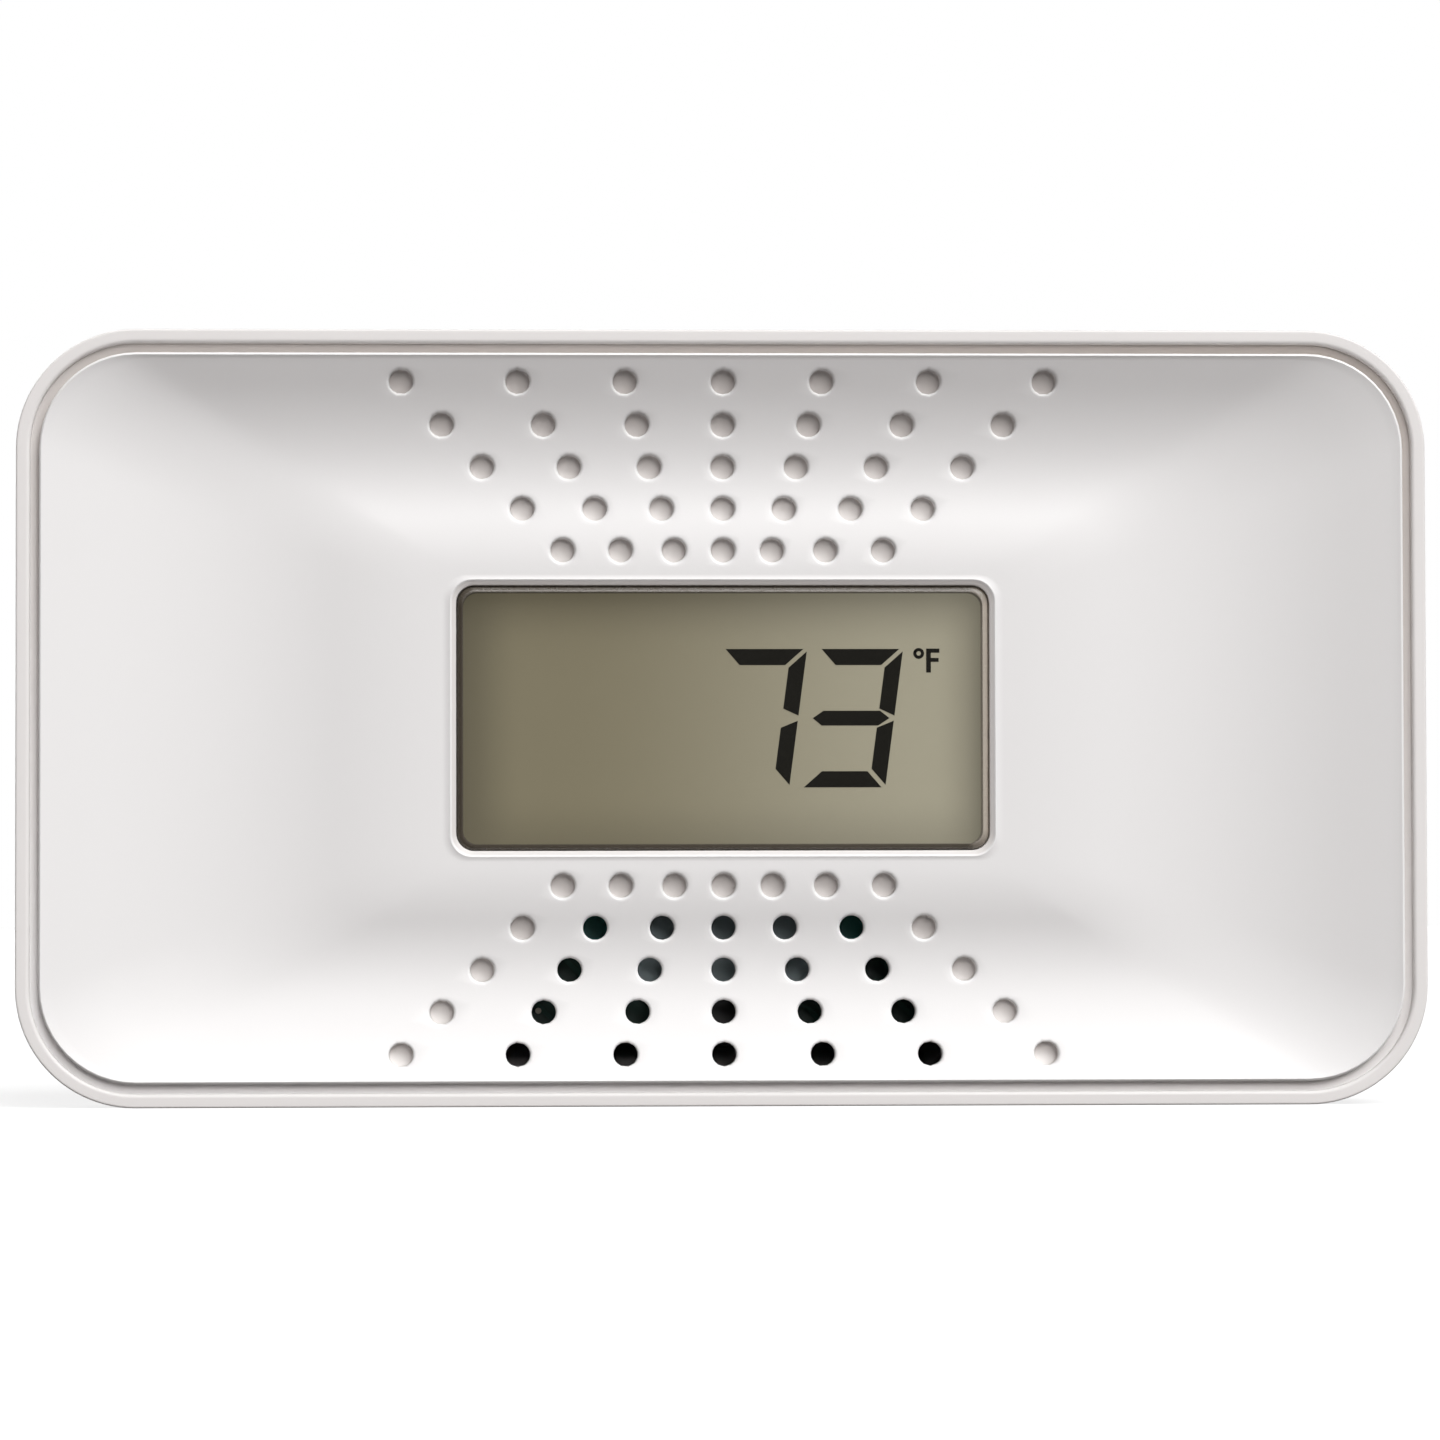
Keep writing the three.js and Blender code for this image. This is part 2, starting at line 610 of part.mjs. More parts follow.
// ---- test button over its push switch ----
function testButton() {
  const { x, d0, d1, top, flangeTop, flangeBottom, rim } = BUTTON;
  const round = (d1 - d0) / 2 - 0.01;
  const cap = upright(roundedShape(-x, x, at(d0), at(d1), round), flangeTop - 0.2, top - 0.5);
  const crown = upright(roundedShape(-x + 0.5, x - 0.5, at(d0 + 0.5), at(d1 - 0.5), round - 0.5), top - 0.7, top);
  const flange = roundedShape(-x - rim, x + rim, at(d0 - rim), at(d1 + rim), round + rim);
  addPart('test_button', combine(upright(flange, flangeBottom, flangeTop), [cap, crown], []), WHITE);
  const shell = block(-TACT.x, TACT.x, TACT.d0, TACT.d1, TACT.bottom, TACT.top);
  const well = post(TACT.plungerR + 0.3, TACT.top - 1.5, TACT.top + 1);
  addPart('tact_switch_body', combine(shell, [], [well]), STEEL);
  addPart('tact_switch_plunger', post(TACT.plungerR, TACT.top - 1, TACT.plungerTop), BLACK);
}

// Upright round post on the axis of the push switch.
function post(radius, z0, z1) {
  const cylinder = new THREE.CylinderGeometry(radius, radius, z1 - z0, SCREW_SIDES).rotateX(Math.PI / 2);
  return cylinder.translate(0, at((TACT.d0 + TACT.d1) / 2), (z0 + z1) / 2);
}

// ---- power slider through the back wall, driving a switch on the board ----
function powerSwitch() {
  const { x, z, travel, knobX, knobZ, neck, out, inner } = SLIDER;
  const floor = BACK_FACE - SHELL_WALL;
  const knob = block(x - knobX, x + knobX, BACK_FACE + 0.1, out, z - knobZ, z + knobZ);
  const stem = [
    block(x - neck, x + neck, 19.4, out - 0.5, z - neck, z + neck),
    block(x - knobX, x + knobX, inner, floor - 0.2, z - knobZ, z + knobZ),
  ];
  const ribs = [];
  for (const step of [-2, 0, 2]) {
    ribs.push(block(x - knobX - 1, x + knobX + 1, out - 0.5, out + 1, z + step - 0.5, z + step + 0.5));
  }
  const socket = block(x - 1.0, x + 1.0, 19, 21.6, z - 1.0, z + 1.0);
  addPart('power_switch_knob', combine(knob, stem, [...ribs, socket]), BLACK);
  addPart('power_switch_lever', block(x - 0.8, x + 0.8, 17.5, 21.4, z - 0.8, z + 0.8), NICKEL);
  const middle = z - travel / 2;
  const body = block(x - 3, x + 3, BOARD_BACK, 18.6, middle - 6, middle + 6);
  const slot = block(x - 1.1, x + 1.1, 17.5, 20, middle - travel / 2 - 1.1, middle + travel / 2 + 1.1);
  addPart('power_switch_body', combine(body, [], [slot]), STEEL);
}

// ---- small parts on the board ----
function boardParts() {
  const chip = block(-29, -17, BOARD_BACK + 0.3, BOARD_BACK + 1.8, 47, 59);
  const legs = [];
  for (let k = 0; k < 6; k += 1) {
    const z = 48.5 + k * 1.8;
    legs.push(block(-30.5, -15.5, BOARD_BACK, BOARD_BACK + 0.6, z - 0.35, z + 0.35));
  }
  addPart('microcontroller', combine(chip, legs, []), BLACK);
  [[-34, 63], [28, 38]].forEach(([x, z], k) => {
    const can = [[0, BOARD_BACK], [3.15, BOARD_BACK], [3.15, 24.2], [2.8, 24.6], [0, 24.6]];
    addPart(`capacitor_${k + 1}`, turned(can, x, z, 16), SLEEVE);
  });
  const core = block(20, 32, BOARD_BACK, 22, 12, 22);
  const winding = rod(26, 17, 4, 21, 23.5, 16);
  addPart('horn_transformer', combine(core, [winding], []), COPPER_TAPE);
  addPart('crystal', block(-14, -11, BOARD_BACK, 15.4, 47, 55), NICKEL);
  const bead = [[0, BOARD_BACK], [0.5, BOARD_BACK], [0.5, 17], [1.4, 18], [1.4, 19.4], [0.7, 20.4], [0, 20.4]];
  addPart('thermistor', turned(bead, -58, 24, 12), BLACK);
  const lamp = [[0, 8], [1.1, 8.4], [1.5, 9.3], [1.5, 11], [1.9, 11], [1.9, BOARD_FRONT], [0, BOARD_FRONT]];
  addPart('led_green', turned(lamp, -6.5, MID_Z + 26.65, 12), LAMP_GREEN);
  addPart('led_red', turned(lamp, 6.5, MID_Z + 26.65, 12), RED);
}

// ---- wall bracket: plate with keyholes, a middle opening and four hooks ----
function wallBracket() {
  const { x, bottom, top, r, front, back, openX, openBottom, openTop } = BRACKET;
  const shape = roundedShape(-x, x, bottom, top, r);
  shape.holes.push(roundedShape(-openX, openX, openBottom, openTop, 3));
  const plate = slab(shape, front, back);
  const hooks = [];
  for (const [hx, hz] of HOOKS) {
    hooks.push(block(hx - HOOK.stemX, hx + HOOK.stemX, HOOK.headFront + 0.5, front + 0.5, hz - HOOK.stemZ, hz + HOOK.stemZ));
    hooks.push(block(hx - HOOK.headX, hx + HOOK.headX, HOOK.headFront, HOOK.headBack, hz - HOOK.headZ, hz + HOOK.headZ));
  }
  const cuts = [];
  for (const kx of [-KEYHOLE.x, KEYHOLE.x]) {
    const high = KEYHOLE.z + KEYHOLE.rise;
    cuts.push(rod(kx, KEYHOLE.z, KEYHOLE.r, front - 1, back + 1, 20));
    cuts.push(rod(kx, high, KEYHOLE.slot, front - 1, back + 1, 16));
    cuts.push(block(kx - KEYHOLE.slot, kx + KEYHOLE.slot, front - 1, back + 1, KEYHOLE.z, high));
  }
  addPart('wall_bracket', combine(plate, hooks, cuts), WHITE);
}

function ratingLabel() {
  const shape = roundedShape(-19, 19, 27, 55, 2);
  addPart('rating_label', slab(shape, BACK_FACE, BACK_FACE + 0.15, 3), PAPER);
}

frontCover();
rearHousing();
displayLens();
display();
displayHolder();
circuitBoard();
screws();
horn();
gasSensor();
battery();
testButton();
powerSwitch();
boardParts();
wallBracket();
ratingLabel();

export default group;
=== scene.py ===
"""Carbon monoxide alarm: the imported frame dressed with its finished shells, display and inner pieces."""

import math

import bmesh
import bpy
import numpy as np
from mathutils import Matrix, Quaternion, Vector


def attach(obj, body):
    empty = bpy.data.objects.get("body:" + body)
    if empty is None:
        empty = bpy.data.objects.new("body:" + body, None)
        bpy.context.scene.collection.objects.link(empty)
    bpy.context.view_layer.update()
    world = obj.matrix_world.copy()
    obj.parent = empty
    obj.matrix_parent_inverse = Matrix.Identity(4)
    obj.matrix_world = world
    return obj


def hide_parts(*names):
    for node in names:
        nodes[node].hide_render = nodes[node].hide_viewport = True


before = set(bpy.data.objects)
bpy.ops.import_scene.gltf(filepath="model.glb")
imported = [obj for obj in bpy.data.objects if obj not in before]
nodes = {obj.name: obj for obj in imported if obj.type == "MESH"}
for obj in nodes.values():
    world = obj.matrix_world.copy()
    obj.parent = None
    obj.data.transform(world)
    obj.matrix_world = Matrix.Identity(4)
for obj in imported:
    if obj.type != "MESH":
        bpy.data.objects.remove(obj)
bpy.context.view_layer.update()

# ---- Camera ----
# A long lens looks at the alarm almost squarely, from a little to its left and a little
# below its middle, so that the width of the case nearly fills the frame.
MM = 0.001
middle = Vector((0.0, -0.019, 0.041))
view_azimuth = math.radians(-2.115)
view_elevation = math.radians(-1.83)
view_distance = 0.60
frame_width = 0.15182
camera_data = bpy.data.cameras.new("camera")
camera_data.lens = camera_data.sensor_width * view_distance / frame_width
camera_data.clip_start = 0.02
camera_data.clip_end = 40.0
camera = bpy.data.objects.new("camera", camera_data)
bpy.context.scene.collection.objects.link(camera)
backward = Vector((
    math.sin(view_azimuth) * math.cos(view_elevation),
    -math.cos(view_azimuth) * math.cos(view_elevation),
    math.sin(view_elevation),
))
aim = middle + Vector((-0.44, 0.0, -0.31)) * MM
camera.location = aim + backward * view_distance
camera.rotation_mode = "QUATERNION"
facing = (-backward).to_track_quat("-Z", "Y")
camera.rotation_quaternion = facing @ Quaternion((0, 0, 1), math.radians(-0.119))
bpy.context.scene.camera = camera


# ---- Floor and backdrop ----
# A plain white floor under the alarm and a plain white dome round it, both only a setting.
# The surfaces are grids worked out as whole arrays; the dome only glows and throws no shade.
class Wire:
    """A shader value: Python arithmetic on it adds Math nodes, and node() adds any other node."""

    def __init__(self, tree, socket=None):
        self.tree = tree
        self.socket = socket

    def node(self, kind, settings=None, sockets=None, out=0):
        """Makes a node, gives it its settings, then fills its sockets with values or links."""
        made = self.tree.nodes.new(kind)
        for key, value in (settings or {}).items():
            if key == "stops":
                for stop, (place, colour) in enumerate(value):
                    ramp = made.color_ramp.elements
                    element = ramp[stop] if stop < len(ramp) else ramp.new(place)
                    element.position, element.color = place, colour
            else:
                setattr(made, key, value)
        for key, value in (sockets or {}).items():
            if isinstance(value, Wire):
                self.tree.links.new(value.socket, made.inputs[key])
            else:
                made.inputs[key].default_value = value
        return Wire(self.tree, made.outputs[out])

    def math(self, operation, *values):
        return self.node("ShaderNodeMath", {"operation": operation}, dict(enumerate(values)))

    def __add__(self, other):
        return self.math("ADD", self, other)

    def __radd__(self, other):
        return self.math("ADD", other, self)

    def __sub__(self, other):
        return self.math("SUBTRACT", self, other)

    def __rsub__(self, other):
        return self.math("SUBTRACT", other, self)

    def __mul__(self, other):
        return self.math("MULTIPLY", self, other)

    def __rmul__(self, other):
        return self.math("MULTIPLY", other, self)

    def __truediv__(self, other):
        return self.math("DIVIDE", self, other)

    def __rtruediv__(self, other):
        return self.math("DIVIDE", other, self)

    def __gt__(self, other):
        return self.math("GREATER_THAN", self, other)

    def __lt__(self, other):
        return self.math("LESS_THAN", self, other)


def new_material(name):
    """An empty node material, its output node, and a Wire to start from."""
    material = bpy.data.materials.new(name)
    material.use_nodes = True
    material.node_tree.nodes.clear()
    output = material.node_tree.nodes.new("ShaderNodeOutputMaterial")
    return material, output, Wire(material.node_tree)


def place_of(wire):
    """Object coordinates, and their three parts in millimetres."""
    spot = wire.node("ShaderNodeTexCoord", out="Object")
    parts = [wire.node("ShaderNodeSeparateXYZ", sockets={0: spot}, out=k) * 1000.0 for k in range(3)]
    return spot, parts


def blend_colours(wire, factor, first, second):
    """A colour mix between first and second."""
    return wire.node("ShaderNodeMix", {"data_type": "RGBA"}, {0: factor, 6: first, 7: second}, out=2)


def grid_quads(rows, columns, closed=False):
    """Quads of a rows x columns grid of points; a closed grid joins its last column to its first."""
    i, j = np.meshgrid(np.arange(rows - 1), np.arange(columns if closed else columns - 1), indexing="ij")
    k = (j + 1) % columns
    quads = np.stack([i * columns + j, i * columns + k, (i + 1) * columns + k, (i + 1) * columns + j], -1)
    return quads.reshape(-1, 4)


def mesh_of(name, points, faces):
    """A mesh from an array of points and a list of face arrays."""
    mesh = bpy.data.meshes.new(name)
    rows = np.asarray(points, float).reshape(-1, 3).tolist()
    mesh.from_pydata(rows, [], [list(map(int, face)) for face in faces])
    mesh.update()
    return mesh


def soft_matt(name, colour, roughness, glow=0.0):
    """A plain matt surface with a faint cloudiness and, for a lit floor, a glow of its own."""
    material, output, wire = new_material(name)
    spot, _ = place_of(wire)
    cloud = wire.node("ShaderNodeTexNoise", sockets={"Vector": spot, "Scale": 2.0})
    tint = blend_colours(wire, cloud, (*colour, 1), (*[c * 0.99 for c in colour], 1))
    shader = wire.node("ShaderNodeBsdfPrincipled", sockets={
        "Base Color": tint, "Roughness": roughness, "Specular IOR Level": 0.0,
        "Emission Color": (1, 1, 1, 1), "Emission Strength": glow})
    material.node_tree.links.new(shader.socket, output.inputs[0])
    return material


u, v = np.meshgrid(np.linspace(-4, 4, 9), np.linspace(-4, 4, 9), indexing="ij")
floor_mesh = mesh_of("floor", np.stack([u, v, u * 0], -1), grid_quads(9, 9))
floor = bpy.data.objects.new("floor", floor_mesh)
bpy.context.scene.collection.objects.link(floor)
floor_mesh.materials.append(soft_matt("floor_white", (0.28, 0.28, 0.28), 0.7, glow=0.8))

DOME_RADIUS = 6.0
dome_turns = np.linspace(0, 2 * np.pi, 49)[:-1]
dome_lifts = np.linspace(-0.1, np.pi / 2, 13)
turn, lift = np.meshgrid(dome_turns, dome_lifts, indexing="ij")
dome_points = DOME_RADIUS * np.stack([
    np.cos(turn) * np.cos(lift), np.sin(turn) * np.cos(lift), np.sin(lift)], -1)
dome_mesh = mesh_of("dome", dome_points.transpose(1, 0, 2), grid_quads(13, 48, closed=True))
dome = bpy.data.objects.new("dome", dome_mesh)
bpy.context.scene.collection.objects.link(dome)
dome_white, dome_output, wire = new_material("dome_white")
glow = wire.node("ShaderNodeEmission", sockets={"Color": (1, 1, 1, 1), "Strength": 1.0})
dome_white.node_tree.links.new(glow.socket, dome_output.inputs[0])
dome_mesh.materials.append(dome_white)
dome.visible_diffuse = False
dome.visible_shadow = False
dome.visible_glossy = False
dome.visible_transmission = False
floor.visible_diffuse = False
floor.visible_glossy = False

# ---- Light ----
# A broad soft light from above, in front and to the right, a weaker one from the front that opens
# the shadows, one from behind for the back of the case, and a weak, even, slightly warm sky.
world = bpy.data.worlds.new("sky")
world.use_nodes = True
world.node_tree.nodes["Background"].inputs[0].default_value = (1, 0.93, 0.90, 1)
world.node_tree.nodes["Background"].inputs[1].default_value = 0.09
bpy.context.scene.world = world
bpy.context.scene.view_settings.view_transform = "Standard"
for light_name, strength, colour, spread, came_from in (
    ("key_light", 3.1, (0.985, 1.0, 1.0), 50.0, (0.404, -0.50, 0.766)),
    ("front_light", 1.15, (1.0, 0.965, 0.955), 27.0, (0.15, -0.93, 0.33)),
    ("back_light", 2.4, (1.0, 1.0, 1.0), 50.0, (-0.45, 0.85, 0.12)),
):
    light_data = bpy.data.lights.new(light_name, "SUN")
    light_data.energy = strength
    light_data.color = colour
    light_data.angle = math.radians(spread)
    light = bpy.data.objects.new(light_name, light_data)
    bpy.context.scene.collection.objects.link(light)
    light.rotation_mode = "QUATERNION"
    light.rotation_quaternion = (-Vector(came_from)).to_track_quat("-Z", "Y")


# ---- Front panel ----
# One white plastic moulding, screwed on from behind: a dish that falls from its lip to a valley and
# rises to a flat mound round the display, with two fans of perforations moulded through or part way,
# and a skirt inside the rim of the case. Grey shade is painted into the groove between lip and rim.
LIP = np.array([72.05, 38.5, 10.2])
BEZEL = np.array([29.0, 14.8, 2.4])
WINDOW = np.array([28.25, 14.05, 1.9])
FRONT = -19.0
CENTRE_HEIGHT = 41.0
PANEL_WALL = 1.9
LIP_START = 38.0
LIP_SLOPE = 0.40
FLANK_SLOPE = -0.44 * LIP_SLOPE
RAYS = np.array([-0.958, -0.612, -0.293, 0.0, 0.293, 0.612, 0.958])
RAY_EDGES = np.array([-1.131, -0.785, -0.4525, -0.1465, 0.1465, 0.4525, 0.785, 1.131])
ROWS = 17.75 + 4.45 * np.arange(5)
ROW_EDGES = np.append(ROWS - 2.225, ROWS[-1] + 2.225)
HOLE = 1.28
HOLE_EDGE = 0.33
DIMPLE = 1.6
DIMPLE_FILLET = 0.2
CELL = 8
SKIRT_END = 9.0
SKIRT_WALL = 1.6


def part_way(height):
    """Share of the way from the bezel, 0, to the lip, 1, at a height above or below the middle."""
    return (height - BEZEL[1]) / (LIP[1] - BEZEL[1])


def dish_depth(t):
    """Depth below the lip at t, the share of the way from bezel to lip: the slope, added up from t
    to the lip. The slope is steady near the lip, falls evenly through nought at the valley and fades
    on the mound, and its bends are smoothed by a moving average with a bell-shaped weight."""
    fine = np.linspace(0, 1.2, 2401)
    slope = np.interp(fine, [0, 0.04, 0.28, 0.86, 1.2], [0, 0, FLANK_SLOPE, LIP_SLOPE, LIP_SLOPE])
    kernel = np.hanning(121)
    padded = np.pad(slope, 60, mode="edge")
    slope = np.convolve(padded, kernel / kernel.sum(), mode="valid")
    total = np.concatenate([[0], np.cumsum((slope[1:] + slope[:-1]) / 2 * np.diff(fine))])
    at_lip = np.interp(1.0, fine, total)
    return (at_lip - np.interp(t, fine, total)) * (LIP[1] - BEZEL[1])


def contour(t):
    """Half width, half height and corner radius of the rounded outline at t."""
    t = np.asarray(t, float)[..., None]
    return BEZEL + (LIP - BEZEL) * t


def cell_steps(edges):
    """The edges of a row of cells, with each cell between them split evenly."""
    split = [np.linspace(a, b, CELL + 1)[:-1] for a, b in zip(edges[:-1], edges[1:])]
    return np.concatenate([*split, edges[-1:]])


def side_slopes():
    """Steps along a long side: rays through the perforations, and two more past each end of the fan."""
    return np.concatenate([[-1.35, -1.24], cell_steps(RAY_EDGES), [1.24, 1.35]])


def outline(sizes, corner_steps=12, short_steps=16, end_steps=3):
    """Points round rounded rectangles, whose half width, half height and corner radius are the last
    axis of sizes. Long sides are stepped along rays from the middle, corners along their arcs."""
    x, z, r = (np.asarray(sizes, float)[..., k, None] for k in range(3))
    rays = side_slopes()
    reach = np.linspace(0, 1, end_steps + 1)[1:]
    ray_end = rays[-1] * z
    end = ray_end + (x - r - ray_end) * reach
    long_x = np.concatenate([-end[..., ::-1], rays * z, end], -1)
    arc = np.linspace(0, np.pi / 2, corner_steps + 1)[1:-1]
    short = np.linspace(-1, 1, short_steps + 1) * (z - r)
    level = np.ones_like(long_x) * z
    upright = np.ones_like(short) * x
    px = [upright, x - r + r * np.cos(arc), long_x[..., ::-1], -(x - r) - r * np.sin(arc)]
    pz = [short, z - r + r * np.sin(arc), level, z - r + r * np.cos(arc)]
    px += [-upright, -(x - r) - r * np.cos(arc), long_x, x - r + r * np.sin(arc)]
    pz += [-short, -(z - r) - r * np.sin(arc), -level, -(z - r) - r * np.cos(arc)]
    return np.concatenate(px, -1), np.concatenate(pz, -1)


def to_frame(x, depth, z):
    """Millimetres across, behind the front plane and above the middle, to metres in the frame."""
    return np.stack(np.broadcast_arrays(x, depth + FRONT, z + CENTRE_HEIGHT), -1) * MM


def dish_grid(offset):
    """The dish as a grid over t and round the outline, with the cells of the perforations left out."""
    t = part_way(np.concatenate([[BEZEL[1], 15.2], cell_steps(ROW_EDGES), [LIP_START]]))
    x, z = outline(contour(t))
    points = to_frame(x, dish_depth(t)[:, None] + offset, z)
    quads = grid_quads(len(t), x.shape[1], closed=True)
    ray = np.take(x / np.abs(z), quads)
    height = np.take(np.abs(z), quads)
    row = height.mean(-1)
    in_cells = (np.abs(ray.mean(-1)) < RAY_EDGES[-1]) & (row > ROW_EDGES[0]) & (row < ROW_EDGES[-1])
    flat_top = np.ptp(ray, axis=-1) < 0.2
    long_side = height.min(-1) > 0.999 * ROW_EDGES[0]
    straight = np.abs(np.take(x, quads)).max(-1) < RAY_EDGES[-1] * height.max(-1) * 1.001
    return points, quads[~(in_cells & flat_top & long_side & straight)]


def cell_rims():
    """Arrays over all the perforation cells: side, points round the edge, middle, and whether it is open.
    The points step evenly round a cell between two rays and two heights."""
    step = np.linspace(0, 1, CELL + 1)
    low, high = np.zeros(CELL), np.ones(CELL)
    across = np.concatenate([step[:-1], high, step[:0:-1], low])
    up = np.concatenate([low, step[:-1], high, step[:0:-1]])
    places = np.meshgrid([1, -1], np.arange(len(ROWS)), np.arange(len(RAYS)), indexing="ij")
    side, row, ray = (a.ravel() for a in places)
    z0, z1 = ROW_EDGES[row], ROW_EDGES[row + 1]
    s0, s1 = RAY_EDGES[ray], RAY_EDGES[ray + 1]
    rim_z = z0[:, None] + (z1 - z0)[:, None] * up
    rim_x = (s0[:, None] + (s1 - s0)[:, None] * across) * rim_z
    middle_x, middle_z = RAYS[ray] * ROWS[row], ROWS[row]
    is_open = (side < 0) & (row > 0) & (np.abs(RAYS[ray]) < 0.7)
    return side, rim_x, rim_z, middle_x, middle_z, is_open


def cell_surface(offset, through):
    """Rings from each cell's edge to its hole, then a quarter circle round the hole's edge and down its
    wall. A blind hole ends in a small fillet and a nearly flat floor, an open one in a rounded edge at
    the back of the panel. Without through, the rings are those of the back of the panel."""
    side, rim_x, rim_z, mx, mz, is_open = cell_rims()
    mx, mz = mx[:, None], mz[:, None]
    away = np.hypot(rim_x - mx, rim_z - mz)
    ux, uz = (rim_x - mx) / away, (rim_z - mz) / away
    mouth = HOLE + HOLE_EDGE
    radii, drops = [], []
    for k in np.linspace(0, 1, 4):
        radii.append(away + (mouth - away) * k)
        drops.append(0 * away)
    bend = np.linspace(0, np.pi / 2, 5)[1:]
    if through:
        floor_depth = np.where(is_open, 0.0, DIMPLE)[:, None]
        for angle in bend:
            radii.append(0 * away + mouth - HOLE_EDGE * np.sin(angle))
            drops.append(0 * away + HOLE_EDGE * (1 - np.cos(angle)))
        for k in (0.5, 1.0):
            radii.append(0 * away + HOLE)
            blind = HOLE_EDGE + (floor_depth - DIMPLE_FILLET - HOLE_EDGE) * k
            clear = HOLE_EDGE + (PANEL_WALL - 2 * HOLE_EDGE) * k
            drops.append(np.where(is_open[:, None], clear, blind) + 0 * away)
        for angle in bend:
            blind_radius = HOLE - DIMPLE_FILLET * (1 - np.cos(angle))
            clear_radius = HOLE + HOLE_EDGE * (1 - np.cos(angle))
            radii.append(np.where(is_open[:, None], clear_radius, blind_radius) + 0 * away)
            blind_drop = floor_depth - DIMPLE_FILLET * (1 - np.sin(angle))
            clear_drop = PANEL_WALL - HOLE_EDGE + HOLE_EDGE * np.sin(angle)
            drops.append(np.where(is_open[:, None], clear_drop, blind_drop) + 0 * away)
        for k in (0.6, 0.3, 0.0):
            radii.append(np.where(is_open[:, None], mouth, (HOLE - DIMPLE_FILLET) * k) + 0 * away)
            drops.append(np.where(is_open[:, None], PANEL_WALL, floor_depth + 0.03 * (1 - k)) + 0 * away)
    else:
        for k in (0.6, 0.3, 0.0):
            radii.append(np.where(is_open[:, None], mouth, mouth * k) + 0 * away)
            drops.append(0 * away)
    radii, drops = np.stack(radii, 1), np.stack(drops, 1)
    x = mx[:, None] + ux[:, None] * radii
    z = mz[:, None] + uz[:, None] * radii
    depth = dish_depth(part_way(z)) + drops + offset
    points = to_frame(x, depth, z * side[:, None, None])
    count, rings, around = x.shape
    single = grid_quads(rings, around, closed=True)
    quads = single[None] + (np.arange(count) * rings * around)[:, None, None]
    flipped = quads[:, :, ::-1]
    return points, np.where(side[:, None, None] > 0, quads, flipped).reshape(-1, 4)


def swept_rings(sizes, depths):
    """Rounded-rectangle outlines at a row of depths, joined into one skin."""
    x, z = outline(np.asarray(sizes, float))
    points = to_frame(x, np.asarray(depths, float)[:, None], z)
    return points, grid_quads(len(depths), x.shape[1], closed=True)


def welded(name, patches):
    """One mesh from patches of (points, faces), welded, with its faces looking outwards."""
    points, faces, start = [], [], 0
    for patch_points, patch_faces in patches:
        flat = np.asarray(patch_points, float).reshape(-1, 3)
        points.append(flat)
        faces += [np.asarray(f) + start for f in patch_faces]
        start += len(flat)
    mesh = mesh_of(name, np.concatenate(points), faces)
    work = bmesh.new()
    work.from_mesh(mesh)
    bmesh.ops.remove_doubles(work, verts=work.verts, dist=2e-6)
    bmesh.ops.dissolve_degenerate(work, dist=1e-7, edges=work.edges)
    bmesh.ops.recalc_face_normals(work, faces=work.faces)
    work.to_mesh(mesh)
    work.free()
    return mesh


def finish_piece(name, mesh, material, body="alarm", replaces=(), sharp=32.0, flat=False):
    """Links a mesh as a piece of the alarm, smooth but for its sharp edges, and hides the parts it replaces.
    A flat piece keeps its broad faces evenly shaded beside small rounded edges."""
    mesh.polygons.foreach_set("use_smooth", np.ones(len(mesh.polygons), bool))
    mesh.set_sharp_from_angle(angle=math.radians(sharp))
    mesh.materials.clear()
    mesh.materials.append(material)
    piece = bpy.data.objects.new(name, mesh)
    bpy.context.scene.collection.objects.link(piece)
    if flat:
        even = piece.modifiers.new("even_shading", "WEIGHTED_NORMAL")
        even.mode, even.weight, even.keep_sharp = "FACE_AREA", 100, True
    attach(piece, body)
    if replaces:
        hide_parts(*replaces)


def moulded_plastic(name, colour, roughness=0.42, grain=0.5, drift=0.012, ior=1.5, painted_shade_below=None):
    """Injection-moulded plastic: an even colour with a very faint drift, and the fine spark-eroded grain
    of the mould in its roughness and bump. It is painted a warm grey as shade where the mesh's shade
    attribute is high, and painted nearly black as shade below a given height, in millimetres."""
    material, output, wire = new_material(name)
    spot, (_, _, z) = place_of(wire)
    cloud = wire.node("ShaderNodeTexNoise", sockets={"Vector": spot, "Scale": 28.0, "Detail": 2.0})
    pores = wire.node("ShaderNodeTexNoise", sockets={"Vector": spot, "Scale": 5200.0, "Detail": 1.0})
    shade = [max(0.0, c - drift) for c in colour]
    tint = blend_colours(wire, cloud, (*colour, 1), (*shade, 1))
    # Painted shade: a warm grey laid on where the mesh's shade attribute is high.
    painted_shade = wire.node("ShaderNodeAttribute", {"attribute_name": "painted_shade"}, out="Fac")
    painted_shade_colour = [c * share for c, share in zip(colour, (0.60, 0.545, 0.50))]
    tint = blend_colours(wire, painted_shade, tint, (*painted_shade_colour, 1))
    # Painted shade: nearly black below the given height.
    if painted_shade_below is not None:
        above = wire.node("ShaderNodeMapRange", sockets={
            "Value": z, "From Min": painted_shade_below, "From Max": painted_shade_below + 0.5})
        tint = blend_colours(wire, above, (0.02, 0.02, 0.021, 1), tint)
    rough = roughness - 0.05 + 0.06 * cloud + 0.04 * pores
    bump = wire.node("ShaderNodeBump", sockets={
        "Height": pores, "Strength": 0.10 * grain, "Distance": 0.00006})
    sockets = {"Base Color": tint, "Roughness": rough, "Normal": bump, "IOR": ior}
    shader = wire.node("ShaderNodeBsdfPrincipled", sockets=sockets)
    material.node_tree.links.new(shader.socket, output.inputs[0])
    return material


shell_white = moulded_plastic("shell_white", (0.83, 0.82, 0.82))

